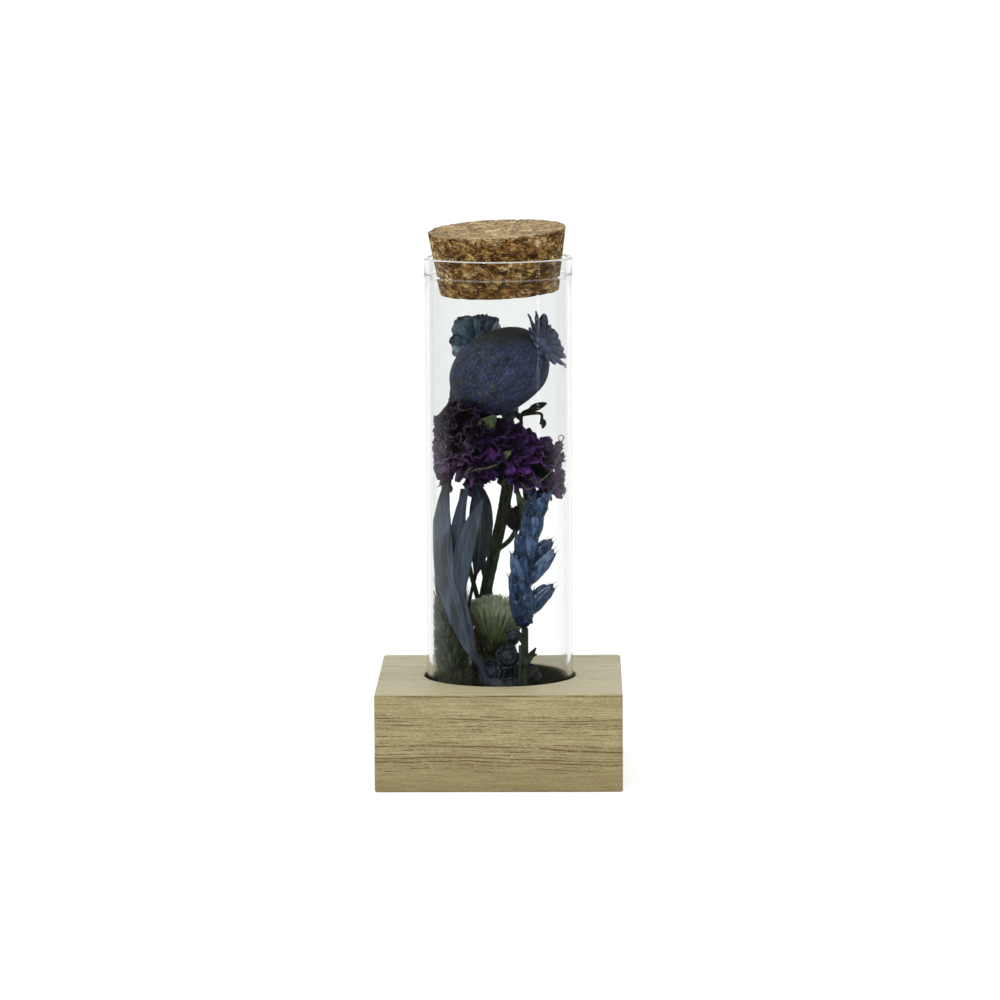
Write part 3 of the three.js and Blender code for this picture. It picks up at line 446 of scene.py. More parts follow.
def spline(points, u):
    """Points of a centripetal Catmull-Rom curve at shares u of its knots."""
    knots = np.array(points, float)
    padded = np.vstack([2 * knots[0] - knots[1], knots, 2 * knots[-1] - knots[-2]])
    at = np.clip(u, 0, 1) * (len(knots) - 1)
    cell = np.minimum(at.astype(int), len(knots) - 2)
    w = (at - cell)[:, None]
    x0, x1, x2, x3 = (padded[cell + k] for k in range(4))
    d0, d1, d2 = (
        np.maximum(((b - a) ** 2).sum(1, keepdims=True) ** 0.25, 1e-6)
        for a, b in ((x0, x1), (x1, x2), (x2, x3))
    )
    m1 = ((x1 - x0) / d0 - (x2 - x0) / (d0 + d1) + (x2 - x1) / d1) * d1
    m2 = ((x2 - x1) / d1 - (x3 - x1) / (d1 + d2) + (x3 - x2) / d2) * d1
    return x1 + m1 * w + (3 * (x2 - x1) - 2 * m1 - m2) * w ** 2 + (2 * (x1 - x2) + m1 + m2) * w ** 3


class Path:
    """A smooth curve that is read by how far along it a point is."""

    def __init__(self, points):
        self.points = points
        self.u = np.linspace(0, 1, PATH_POINTS)
        steps = np.linalg.norm(np.diff(spline(points, self.u), axis=0), axis=1)
        self.run = np.concatenate([[0], np.cumsum(steps)]) / steps.sum()

    def at(self, t):
        return spline(self.points, np.interp(np.atleast_1d(t), self.run, self.u))

    def way(self, t):
        t = np.atleast_1d(t)
        return unit(self.at(np.minimum(t + 0.01, 1)) - self.at(np.maximum(t - 0.01, 0)))


def rough(points, size, shift=0.0):
    """Noise from -1 to 1 at each point, with lumps of about the given size."""
    flat = points.reshape(-1, 3) / size + shift
    values = np.fromiter((noise.noise(Vector(p)) for p in flat), float, len(flat))
    return values.reshape(points.shape[:-1])


def crumpled(points, amount, size, shift=0.0):
    """The points, moved by noise that differs along each axis."""
    moved = np.stack([rough(points, size, shift + 17.3 * k) for k in range(3)], -1)
    return points + moved * np.asarray(amount)[..., None]


def quads(rows, columns, wrap):
    """Faces of a grid, anticlockwise where the rows run up and the columns run to the left."""
    index = np.arange(rows * columns).reshape(rows, columns)
    beside = np.roll(index, -1, 1)
    cells = np.stack([index[:-1], index[1:], beside[1:], beside[:-1]], -1)
    return (cells if wrap else cells[:, :-1]).reshape(-1, 4)


def blade_shape(t, widest, stalk):
    """Share of a leaf's full width at each place along it."""
    grown = np.clip((t - stalk) / (1 - stalk), 0, 1)
    peak = (widest - stalk) / (1 - stalk)
    u = np.where(grown < peak, grown / peak, (1 - grown) / (1 - peak))
    body = 0.12 + 0.88 * np.sin(np.pi / 2 * np.clip(u, 0, 1)) ** 0.9
    return np.where(t < stalk, 0.12, body)


class Shape:
    """Faces of one piece, and at each point the numbers that its material reads."""

    def __init__(self):
        self.points = []
        self.marks = []
        self.faces = []
        self.size = 0

    def add(self, points, along, over, tone, *faces):
        marks = np.stack([np.broadcast_to(value, points.shape[:-1]) for value in (along, over, tone)], -1)
        self.points.append(points.reshape(-1, 3))
        self.marks.append(marks.reshape(-1, 3))
        self.faces += [group + self.size for group in faces]
        self.size += points.size // 3

    def sheet(self, grid, thickness, along, over, tone, wrap=False):
        """Closed thin sheet through a grid of points."""
        form = grid.shape[:2]
        beside = np.roll(grid, -1, 1) - np.roll(grid, 1, 1) if wrap else np.gradient(grid, axis=1)
        normal = unit(np.cross(np.gradient(grid, axis=0), beside))
        half = np.broadcast_to(thickness, form)[..., None] / 2 * normal
        cells = quads(*form, wrap)
        index = np.arange(form[0] * form[1]).reshape(form)
        rims = [index[0], index[-1, ::-1]]
        if not wrap:
            rims = [np.concatenate([index[0, :-1], index[:-1, -1], index[-1, :0:-1], index[:0:-1, 0]])]
        under = index.size
        walls = [
            np.stack([rim, ahead, ahead + under, rim + under], 1)
            for rim, ahead in ((rim, np.roll(rim, -1)) for rim in rims)
        ]
        both = np.stack([grid + half, grid - half])
        self.add(both, along, over, tone, cells, cells[:, ::-1] + under, *walls)

    def loft(self, rings, along=None, over=None, tone=0.5):
        """Closed body through rings of equal length, with a point in the middle of each end."""
        rings = np.asarray(rings, float)
        rows, columns = rings.shape[:2]
        along = np.linspace(0, 1, rows)[:, None] if along is None else along
        over = np.cos(turns(columns)) if over is None else over
        marks = [np.broadcast_to(value, (rows, columns)).ravel() for value in (along, over, tone)]
        marks = [np.append(mark, mark[[0, -1]] * share) for mark, share in zip(marks, (1, 0, 1))]
        points = np.concatenate([rings.reshape(-1, 3), [rings[0].mean(0), rings[-1].mean(0)]])
        turn = np.arange(columns)
        ahead = np.roll(turn, -1)
        last = (rows - 1) * columns
        caps = [
            np.stack([np.full(columns, rows * columns), ahead, turn], 1),
            np.stack([np.full(columns, rows * columns + 1), last + turn, last + ahead], 1),
        ]
        self.add(points, *marks, quads(rows, columns, True)[:, ::-1], *caps)

    def rod(self, points, radius, sides, steps, tone=0.5, lumps=0.0):
        """Round rod along a smooth curve; its radius is a number or depends on how far along it is."""
        path = Path(points)
        t = np.linspace(0, 1, steps + 1)
        sizes = radius(t) if callable(radius) else np.full(len(t), float(radius))
        angles = turns(sides)
        wave = 1 + lumps * np.cos(angles * (sides // 2))
        self.loft([
            around(middle, across(way, ROD_SIDE), size * wave, angles)
            for middle, way, size in zip(path.at(t), path.way(t), sizes)
        ], tone=tone)

    def bulb(self, centre, direction, profile, sides, lumps, waves, tone=0.5, size=1.0):
        """Body of waved rings round a line, by distances along it and radii."""
        angles = turns(sides)
        wave = 1 + lumps * np.cos(waves * angles)
        self.loft([
            around(centre + direction * at * size, across(direction), radius * size * wave, angles)
            for at, radius in profile
        ], tone=tone)

    def hairs(self, starts, mids, ends, root, tip, tone, steps=4):
        """Many thin three-sided hairs, each bent through a middle point."""
        count = len(starts)
        starts, mids, ends = (points[:, None, None] for points in (starts, mids, ends))
        t = np.linspace(0, 1, steps + 1)[None, :, None, None]
        line = starts * (1 - t) ** 2 + mids * (2 * t * (1 - t)) + ends * t ** 2
        way = unit(ends - starts)
        side = unit(np.cross(way, HAIR_SIDE))
        t = t[..., 0]
        points = around(line, (side, np.cross(way, side)), root * (1 - t) + tip * t, turns(3))
        base = np.arange(count)[:, None] * 3 * (steps + 1)
        cells = (base[..., None] + quads(steps + 1, 3, True)[:, ::-1]).reshape(-1, 4)
        tone = np.broadcast_to(tone, count)[:, None, None]
        self.add(points, t, 0.0, tone, cells, base + [0, 2, 1], base + 3 * steps + [0, 1, 2])

    def petal(self, thick, tone, base, along, face, length, width, curl, cup, pointed=0.0, foot=1.0,
              ruffle=0.0, waves=3.0, phase=0.0, rows=14, columns=11, change=None):
        """Petal: broad and rounded, cupped across, bent towards face, with a ruffled edge."""
        out = unit(face - along * (face @ along))
        side = np.cross(along, out)
        t = np.linspace(0, 1, rows)[:, None]
        s = np.linspace(-1, 1, columns)[None]
        body = np.sin(math.pi * (0.14 + 0.68 * t)) ** 0.8
        narrow = foot + (1 - foot) * np.minimum(t * 3, 1)
        rounding = np.sqrt(np.clip(1 - (np.clip(t - 0.72, 0, 1) / 0.29) ** 2, 0.01, 1))
        half = width / 2 * body * narrow * (1 - pointed * t * t) * rounding
        lift = curl * length * t * t + np.abs(s) ** 1.6 * half * cup
        lift = lift + ruffle * s * s * t * np.sin(waves * TAU * t + phase + 2.2 * np.sign(s))
        grid = base + along * (length * t)[..., None] + side * (half * s)[..., None] + out * lift[..., None]
        if change:
            grid = change(grid, t, s)
        self.sheet(inside_glass(grid), thick, t, s, tone)

    def leaf(self, rib, width, face, fold=0.18, widest=0.5, stalk=0.02, tone=0.5, rows=26, columns=9,
             wave=0.0, seed=0.0):
        """Leaf along a midrib, ribbed lengthwise, with both halves folded up from the rib."""
        path = Path(rib)
        t = np.linspace(0, 1, rows)
        centre = path.at(t)
        way = path.way(t)
        face = np.asarray(face, float)
        out = unit(face - way * (way @ face)[:, None])
        side = np.cross(way, out)
        tip = np.sqrt(np.clip(1 - (np.clip(t - 0.93, 0, 1) / 0.072) ** 2, 0.02, 1))
        half = np.maximum(LEAF_ENDS, width / 2 * blade_shape(t, widest, stalk)) * tip
        s = np.linspace(-1, 1, columns)[None]
        edge = half[:, None] * (1 + 0.05 * rough(centre, 1.2, seed)[:, None] * np.abs(s))
        ribs = 0.05 * np.cos(s * math.pi * 5)
        sway = wave * np.sin(t * 9 + seed)[:, None] * s * np.abs(s)
        lift = np.abs(s) * edge * fold + ribs * (half / half.max())[:, None] + sway
        grid = centre[:, None] + side[:, None] * (edge * s)[..., None] + out[:, None] * lift[..., None]
        self.sheet(fitted(grid), 0.34 - 0.2 * np.abs(s), t[:, None], s, tone)


def placed(name, data):
    """New object in the scene."""
    made = bpy.data.objects.new(name, data)
    bpy.context.scene.collection.objects.link(made)
    return made


def piece(name, shape, material, slot, *nodes):
    """Blender object of a shape, riding on the part and standing for CAD nodes."""
    mesh = bpy.data.meshes.new(name)
    faces = [face for group in shape.faces for face in group.tolist()]
    mesh.from_pydata((np.concatenate(shape.points) * MM).tolist(), [], faces)
    marks = np.concatenate(shape.marks).astype(np.float32)
    mesh.attributes.new("marks", "FLOAT_VECTOR", "POINT").data.foreach_set("vector", marks.ravel())
    mesh.polygons.foreach_set("use_smooth", [True] * len(faces))
    mesh.materials.append(material)
    mesh.update()
    made = placed(name, mesh)
    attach(made, "root")
    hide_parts(*nodes)


def tint(red, green, blue):
    """Linear colour from the 0 to 255 values that a screen shows."""
    shown = np.array([red, green, blue]) / 255
    linear = np.where(shown <= 0.04045, shown / 12.92, ((shown + 0.055) / 1.055) ** 2.4)
    return (*linear.tolist(), 1.0)


class Nodes:
    """Short calls that add nodes to a tree; what they take may be numbers or sockets."""

    def __init__(self, tree):
        self.tree = tree

    def feed(self, socket, value):
        if isinstance(value, bpy.types.NodeSocket):
            self.tree.links.new(value, socket)
        else:
            socket.default_value = value

    def node(self, kind, *values, **named):
        """New node. Values feed its sockets in order; capitals name a socket, small letters a setting."""
        made = self.tree.nodes.new("ShaderNode" + kind)
        for name, value in named.items():
            if name.islower():
                setattr(made, name, value)
            else:
                self.feed(made.inputs[name], value)
        for socket, value in zip(made.inputs, values):
            self.feed(socket, value)
        return made

    def math(self, operation, *values):
        return self.node("Math", *values, operation=operation).outputs[0]

    def times(self, first, *others):
        for other in others:
            first = self.math("MULTIPLY", first, other)
        return first

    def blend(self, *parts, start=0.0):
        """Sum of values times shares, and of a start."""
        for value, share in parts:
            start = self.math("MULTIPLY_ADD", value, share, start)
        return start

    def choose(self, share, first, second):
        """The first number where share is 0, the second where it is 1."""
        return self.blend((share, self.math("SUBTRACT", second, first)), start=first)

    def span(self, value, low, high, to_low=0.0, to_high=1.0):
        """Smooth step of a value from low to high."""
        return self.node(
            "MapRange", value, low, high, to_low, to_high, interpolation_type="SMOOTHSTEP",
        ).outputs[0]

    def ramp(self, value, stops):
        made = self.node("ValToRGB", value)
        elements = made.color_ramp.elements
        while len(elements) < len(stops):
            elements.new(0.5)
        for element, (at, colour) in zip(elements, stops):
            element.position = at
            element.color = colour
        return made.outputs["Color"]

    def tinted(self, value, *stops):
        """Ramp of colours, each given as place, red, green and blue."""
        return self.ramp(value, [(at, tint(*colour)) for at, *colour in stops])

    def mix(self, share, a, b):
        made = self.node("Mix", data_type="RGBA")
        for k, value in ((0, share), (6, a), (7, b)):
            self.feed(made.inputs[k], value)
        return made.outputs[2]


class Look(Nodes):
    """A material: one Principled shader, the colour painted so far, and what covers the surface."""

    def __init__(self, name, roughness=0.7, shine=0.3):
        self.material = bpy.data.materials.new(name)
        self.material.use_nodes = True
        super().__init__(self.material.node_tree)
        self.shader = self.tree.nodes["Principled BSDF"]
        self.shader.inputs["Roughness"].default_value = roughness
        self.shader.inputs["Specular IOR Level"].default_value = shine
        self.surface = self.shader.outputs[0]
        marks = self.node("Attribute", attribute_name="marks")
        self.along, self.over, self.tone = self.node("SeparateXYZ", marks.outputs["Vector"]).outputs
        self.place = self.node("TexCoord").outputs["Object"]
        metres = self.node("SeparateXYZ", self.place).outputs
        self.x, self.y, self.z = (self.times(axis, 1 / MM) for axis in metres)

    def local(self, size, turn=(0, 0, 0)):
        """Object coordinates in units of the given size in millimetres, in a turned frame."""
        size = size if isinstance(size, tuple) else (size,) * 3
        return self.node(
            "Mapping", vector_type="TEXTURE", Vector=self.place, Scale=[s * MM for s in size],
            Rotation=turn,
        ).outputs["Vector"]

    def noise(self, size, turn=(0, 0, 0), detail=4.0, grit=0.55, warp=0.0, output="Fac"):
        return self.node(
            "TexNoise", Vector=self.local(size, turn), Scale=1.0, Detail=detail, Roughness=grit,
            Distortion=warp,
        ).outputs[output]

    def paint(self, mask, share, *colour):
        """Mixes in a share of a colour where the mask is 1."""
        self.colour = self.mix(self.times(mask, share), self.colour, tint(*colour))

    def cover(self, share, shader):
        """Mixes another shader over the surface."""
        self.surface = self.node("MixShader", share, self.surface, shader.outputs[0]).outputs[0]
        self.feed(self.tree.nodes["Material Output"].inputs["Surface"], self.surface)

    def dim_in_mirrors(self, share, instead):
        """Puts that share of another shader in what shining surfaces mirror."""
        depth = self.node("LightPath").outputs["Glossy Depth"]
        self.cover(self.times(self.math("MINIMUM", depth, 1.0), share), instead)

    def finish(self, height, depth, papery=0.0):
        """Links the colour, a relief of that depth in millimetres and a share that lets light through."""
        self.feed(self.shader.inputs["Base Color"], self.colour)
        relief = self.node("Bump", Height=height, Distance=depth * MM, Strength=1.0)
        self.feed(self.shader.inputs["Normal"], relief.outputs["Normal"])
        if papery:
            self.cover(papery, self.node("BsdfTranslucent", Color=self.colour))
        return self.material


def plant(name, colours, size=1.6, turn=(0, 0, 0), along=0.0, tone=0.3, veins=0.0, depth=0.5,
          roughness=0.7, shine=0.3, relief=0.12, glints=None, border=0.0):
    """Dry plant matter: mottled colours, darker veins and borders, painted shade low in the tube, faint
    relief, and painted glints.
    """
    look = Look(name, roughness, shine)
    dark = colours[0]
    height = mottle = look.noise(size, turn, 5.0, 0.6)
    total = look.blend(
        (mottle, 1.5), (look.tone, tone), (look.along, along), start=-0.25 - tone / 2 - along / 2,
    )
    last = len(colours) - 1
    look.colour = look.tinted(total, *((k / last, *colour) for k, colour in enumerate(colours)))
    if veins:
        line = look.span(look.math("SINE", look.times(look.over, veins * math.pi)), 0.55, 1.0)
        look.paint(line, depth, *dark)
        height = look.blend((line, -0.6), start=mottle)
    if border:
        near = look.math("MAXIMUM", look.times(look.over, look.over), look.along)
        look.paint(look.span(near, 0.76, 0.98), border, *dark)
    # Painted shade: plants darken low in the tube, towards the hole
    look.paint(look.span(look.z, *SHADED_HEIGHTS), DEEP_SHADE, *dark)
    # Painted glints: small pale specks
    if glints:
        look.paint(look.span(look.noise(0.42, turn, 2.0), 0.7, 0.74), 0.8, *glints)
    return look.finish(height, relief)


def wood_look():
    """Pale open-grained wood: thin brown lines in bands along X, broken into dashes, with a painted sheen
    on the top face and painted shade on the wall of the hole.
    """
    look = Look("pale_wood", 0.5, 0.5)
    drift = look.noise((60, 9, 9), detail=2.0)
    wander = look.noise((8, 4, 4), detail=3.0)
    level = look.blend((look.y, -0.24), (drift, 4.0), (wander, 0.7), start=look.z)
    rich = [(at / WOOD_SPAN, (v, v, v, 1)) for at, v in WOOD_BANDS]
    bands = look.ramp(look.times(level, 1 / WOOD_SPAN), rich)
    lines = look.math("SINE", look.times(level, TAU / WOOD_LINE_GAP))
    dashes = look.noise((7, 0.9, 0.3), detail=3.0, grit=0.6)
    breaks = look.noise((0.7, 0.4, 0.4), detail=2.0)
    total = look.blend((lines, 0.2), (dashes, 0.6), (breaks, 0.3), (bands, 0.24))
    dark = look.span(total, WOOD_EDGE, WOOD_EDGE + 0.07)
    pores = look.span(look.noise((3.2, 0.5, 0.22), detail=2.0, grit=0.5), 0.6, 0.68)
    fibres = look.noise((8, 0.35, 0.14), grit=0.7)
    speck = look.noise((0.7, 0.3, 0.2), (0, 0.35, 0), 3.0, 0.75)
    cloud = look.noise((14, 5, 3), detail=3.0)
    look.colour = look.tinted(
        look.blend((fibres, 0.65), (cloud, 0.12), (speck, 0.45), (bands, -0.05)),
        (0.43, 121, 106, 64), (0.6, 153, 141, 98), (0.78, 186, 177, 134),
    )
    look.paint(pores, 0.35, 112, 84, 44)
    look.paint(dark, 0.75, 108, 58, 16)
    look.paint(look.span(look.z, 11.0, 0.0), 0.5, 124, 106, 62)
    upper = look.span(look.z, 19.6, 20.0)
    # Painted sheen: the top face whitened
    look.paint(upper, 0.3, 176, 176, 156)
    threads = look.span(look.noise((9, 0.6, 0.5), grit=0.7), 0.5, 0.66)
    look.paint(look.times(upper, threads), 0.4, 124, 106, 66)
    crease = look.times(look.span(look.z, 19.3, 19.5), look.span(look.z, 19.85, 19.65))
    look.paint(crease, look.span(dashes, 0.4, 0.6, 0.2, 0.8), 92, 66, 30)
    # Painted shade: the wall of the hole nearly black below its rim
    reach = look.math("SQRT", look.blend((look.x, look.x), (look.y, look.y)))
    inside = look.span(reach, HOLE_RADIUS + 0.2, HOLE_RADIUS)
    look.paint(look.times(inside, look.span(look.z, 19.95, 19.3)), 0.97, 11, 15, 7)
    look.dim_in_mirrors(look.span(look.y, -1.0, -6.0, *DIMMED_WOOD), look.node("BsdfDiffuse", Color=DIM))
    return look.finish(look.blend((fibres, 0.6), (speck, 0.4), (dark, -1.2)), 0.16)


def cork_look():
    """Pressed cork: angular flakes of several browns in two sizes, with dark cracks and slits."""
    look = Look("cork", 0.9, 0.15)
    fine = look.noise((0.5, 0.5, 0.34), grit=0.7)
    streak = look.noise((1.6, 0.5, 0.3), (0.3, 0.5, 0.9), 4.0, 0.6, 1.0)
    shades = []
    borders = []
    for size, turn, bend in CORK_FLAKES:
        shift = look.noise(bend, detail=3.0, grit=0.5, output="Color")
        bent = look.node("VectorMath", look.local(size, turn), shift, operation="ADD").outputs[0]
        flake = look.node("TexVoronoi", Vector=bent, Scale=1.0)
        shades.append(look.node("SeparateXYZ", flake.outputs["Color"]).outputs["X"])
        edge = look.node("TexVoronoi", feature="DISTANCE_TO_EDGE", Vector=bent, Scale=1.0)
        borders.append(edge.outputs["Distance"])
    look.colour = look.tinted(
        look.blend((shades[0], 0.3), (shades[1], 0.28), (fine, 0.5), (streak, 0.38)),
        (0.42, 54, 33, 12), (0.54, 104, 70, 30), (0.68, 140, 103, 50), (0.81, 172, 136, 78),
        (0.95, 212, 184, 132),
    )
    look.paint(look.span(borders[1], 0.07, 0.0), 0.3, 58, 38, 16)
    crack = look.span(borders[0], 0.05, 0.01)
    look.paint(crack, 0.75, 34, 21, 9)
    # Darker where the shape is sunk in gaps, pits and chips: partly the cork's own dark gaps and pits,
    # partly painted shade in the recesses
    look.paint(look.over, 0.85, 30, 19, 9)
    slits = look.span(look.noise((1.5, 1.5, 0.3), (0.1, 0.14, 0), 3.0, 0.5, 0.8), 0.59, 0.62)
    holes = look.span(look.noise((0.8, 0.8, 0.45), detail=2.0, grit=0.5), 0.66, 0.7)
    pits = look.math("MAXIMUM", slits, holes)
    look.paint(pits, 0.8, 30, 19, 8)
    look.paint(look.tone, 0.36, 196, 180, 142)
    dents = look.span(look.noise((1.2, 0.8, 4), (0, 0, 0.2), 3.0, 0.6, 0.7), 0.58, 0.62)
    look.paint(look.times(dents, look.tone), 0.6, 66, 46, 24)
    return look.finish(look.blend((fine, 0.8), (streak, 0.4), (crack, -0.7), (pits, -1.0)), 0.4)


def glass_look():
    """Clear glass that refracts what is behind it and lets the lamps' light in, with matt white painted on
    the rim and the seam below the collar as highlight lines.
    """
    look = Look("clear_glass", 0.0, 0.22)
    for name, value in (("Base Color", GLASS_TINT), ("Transmission Weight", 1.0), ("IOR", GLASS_BENDING)):
        look.shader.inputs[name].default_value = value
    path = look.node("LightPath").outputs
    soft = look.math("MAXIMUM", path["Is Shadow Ray"], path["Is Diffuse Ray"])
    look.cover(soft, look.node("BsdfTransparent"))
    # Painted highlight: matt white on the rim and on the seam below the collar
    look.cover(look.tone, look.node("BsdfDiffuse", Color=HIGHLIGHT_WHITE))
    return look.material


def block_outline(inset):
    """Square with slightly rounded corners."""
    half = BLOCK_SIDE / 2 - inset
    straight = half - WOOD_CORNER
    run = [(half, y) for y in np.linspace(-straight, straight, SIDE_POINTS)[:-1]]
    run += arc((straight, straight), WOOD_CORNER, 0, 90, CORNER_POINTS)[:-1]
    x, y = np.array(run).T
    return np.concatenate([
        np.column_stack([x * math.cos(a) - y * math.sin(a), x * math.sin(a) + y * math.cos(a)])
        for a in turns(4)
    ])


def square(inset, z):
    """The block's outline at a height, drawn in by an inset."""
    flat = block_outline(inset)
    return np.column_stack([flat, np.full(len(flat), float(z))])


def wooden_block():
    outline = block_outline(0)
    angles = np.arctan2(outline[:, 1], outline[:, 0])
    top = BLOCK_HEIGHT - BLOCK_EDGE
    rings = [square(0, 0) * vec(s, s, 1) for s in (0.02, 0.3, 0.6, 0.85)]
    rings += [square(BLOCK_EDGE - r, z) for r, z in arc((0, BLOCK_EDGE), BLOCK_EDGE, -90, 0, 5)]
    rings += [square(0, z) for z in np.linspace(BLOCK_EDGE, top, WALL_ROWS)[1:-1]]
    rings += [square(BLOCK_EDGE - r, z) for r, z in arc((0, top), BLOCK_EDGE, 0, 90, 5)]
    rim = circle(HOLE_RADIUS + 0.25, BLOCK_HEIGHT, angles)
    rings += [rings[-1] * (1 - w) + rim * w for w in np.linspace(0.12, 1, RIM_ROWS)]
    rings += [circle(HOLE_RADIUS + 0.07, BLOCK_HEIGHT - 0.07, angles)]
    heights = np.linspace(BLOCK_HEIGHT - 0.25, HOLE_FLOOR, HOLE_ROWS)
    rings += [circle(HOLE_RADIUS, z, angles) for z in heights]
    rings += [circle(HOLE_RADIUS * w, HOLE_FLOOR, angles) for w in (0.8, 0.5, 0.02)]
    points = np.array(rings)
    wear = rough(points * vec(0.25, 1, 1), 1.1) * 0.035 + rough(points, 6, 9) * 0.03
    away = unit(points - vec(0, 0, BLOCK_HEIGHT / 2))
    shape = Shape()
    shape.loft(np.where(points[..., 2:] < 0.2, points, points - away * np.abs(wear)[..., None]))
    piece("wooden_block", shape, wood_look(), "pale_wood", "wood_block")


def glass_tube():
    inner = TUBE_RADIUS - WALL
    wide = TUBE_RADIUS + COLLAR_STEP
    collar = TUBE_RIM - COLLAR_HEIGHT
    low = TUBE_BOTTOM
    high = TUBE_RIM
    inner_heel = HEEL * 0.8
    profile = [(0.3, low), (6, low)]
    profile += arc((TUBE_RADIUS - HEEL, low + HEEL), HEEL, -90, 0, 9)
    profile += [(TUBE_RADIUS, z) for z in np.linspace(low + 6, collar - 0.4, 12)]
    profile += [(TUBE_RADIUS + 0.02, collar - 0.3), (wide + 0.1, collar - 0.1)]
    profile += [(wide + 0.12, collar + 0.05), (wide + 0.02, collar + 0.25), (wide, collar + 0.5)]
    profile += [(wide, high - 1.2), (wide, high - 0.5)]
    profile += arc((wide - 0.36, high - 0.36), 0.36, 0, 90, 6)
    profile += arc((inner + 0.3, high - 0.3), 0.3, 90, 180, 5)
    profile += [(inner, high - 0.5), (inner, high - 1.6), (inner, high - 3.4)]
    profile += [(inner, z) for z in np.linspace(high - 6, low + WALL + HEEL, 12)]
    profile += arc((inner - inner_heel, low + WALL + inner_heel), inner_heel, 0, -90, 8)
    profile += [(6, low + WALL), (0.3, low + WALL)]
    # Painted highlight lines: shares of matt white on the rim and on the seam below the collar
    tone = [
        [RIM_HIGHLIGHT if z > high - 0.2 else SEAM_HIGHLIGHT if abs(z - collar) < 0.12 and r > 14.5 else 0.0]
        for r, z in profile
    ]
    shape = Shape()
    shape.loft([circle(r, z, turns(TUBE_SIDES)) for r, z in profile], tone=np.array(tone))
    piece("glass_tube_clear", shape, glass_look(), "clear_glass", "glass_tube")


def grains(points):
    """For each point the shade of its cork grain, and how near it is to a gap between grains."""
    found = [noise.voronoi(Vector(p)) for p in points]
    shades = np.array([noise.cell(places[0] * 7.3) * 0.5 + 0.5 for _, places in found])
    return shades, np.array([near[1] - near[0] for near, _ in found])


def cork_stopper():
    half = CORK_HEIGHT / 2
    rows = [(r, -half) for r in np.linspace(0.2, CORK_BOTTOM_RADIUS - 0.35, 10)]
    rows += [
        (CORK_BOTTOM_RADIUS + (CORK_TOP_RADIUS - CORK_BOTTOM_RADIUS) * w, -half + CORK_HEIGHT * w)
        for w in np.linspace(0.02, 0.985, CORK_ROWS)
    ]
    rows += [(r, half) for r in np.linspace(CORK_TOP_RADIUS - 0.18, 0.2, CORK_TOP_ROWS)]
    points = np.array([circle(r, z, turns(CORK_SIDES)) for r, z in rows])
    form = points.shape[:2]
    flat = points.reshape(-1, 3)
    shade, gap = grains(crumpled(flat, np.full(len(flat), 0.9), 1.3) / vec(*GRAIN) + 31.7)
    gap = np.clip(1 - gap / GRAIN_GAP, 0, 1)
    pit = np.clip(rough(flat, 1.3, 5.1) * 2.4 - 0.75, 0, 1)
    near_edge = np.exp(-((np.abs(flat[:, 2]) - half) / 0.7) ** 2)
    near_edge *= np.exp(-((np.hypot(flat[:, 0], flat[:, 1]) - CORK_TOP_RADIUS) / 1.6) ** 2)
    chip = np.clip(rough(flat, 1.6, 11.9) * 2.0 - 0.35, 0, 1) * near_edge
    sunk = 0.14 * gap ** 2 + 0.3 * pit + 0.5 * chip
    sunk += 0.05 * rough(flat, 0.6, 3.3) + 0.1 * rough(flat, 3.5, 21.0)
    away = unit(flat * vec(1, 1, 0))
    away[flat[:, 2] > half - 1e-3] = UP
    away[flat[:, 2] < -half + 1e-3] = -UP
    flat = flat - away * np.maximum(sunk, 0)[:, None]
    lean = Matrix.Rotation(CORK_LEAN_FORWARD, 3, "X") @ Matrix.Rotation(CORK_LEAN_RIGHT, 3, "Y")
    top = np.clip((flat[:, 2] - half + 0.5) / 0.4, 0, 1)
    shape = Shape()
    # Marks: shade of the grain, how sunk each point is, which the look darkens partly as painted shade, and
    # the top face
    shape.loft(
        (flat @ np.array(lean).T + CORK_MIDDLE).reshape(points.shape), shade.reshape(form),
        np.maximum(gap * 0.8, np.maximum(pit, chip)).reshape(form), top.reshape(form),
    )
    piece("cork_grained", shape, cork_look(), "cork", "cork_stopper")


def pale_floor():
    (x0, y0), (x1, y1) = FLOOR_SIZE
    mesh = bpy.data.meshes.new("floor")
    mesh.from_pydata([(x0, y0, 0), (x1, y0, 0), (x1, y1, 0), (x0, y1, 0)], [], [(0, 1, 2, 3)])
    look = Look("pale_floor", 0.9, 0.1)
    sockets = look.shader.inputs
    greys = [(at, (v, v, v, 1)) for at, v in enumerate(FLOOR_GREYS)]
    look.feed(sockets["Base Color"], look.ramp(look.noise(4.0), greys))
    sockets["Emission Color"].default_value = WHITE
    sockets["Emission Strength"].default_value = FLOOR_GLOW
    look.dim_in_mirrors(1.0, look.node("BsdfTransparent"))
    mesh.materials.append(look.material)
    floor = placed("floor", mesh)


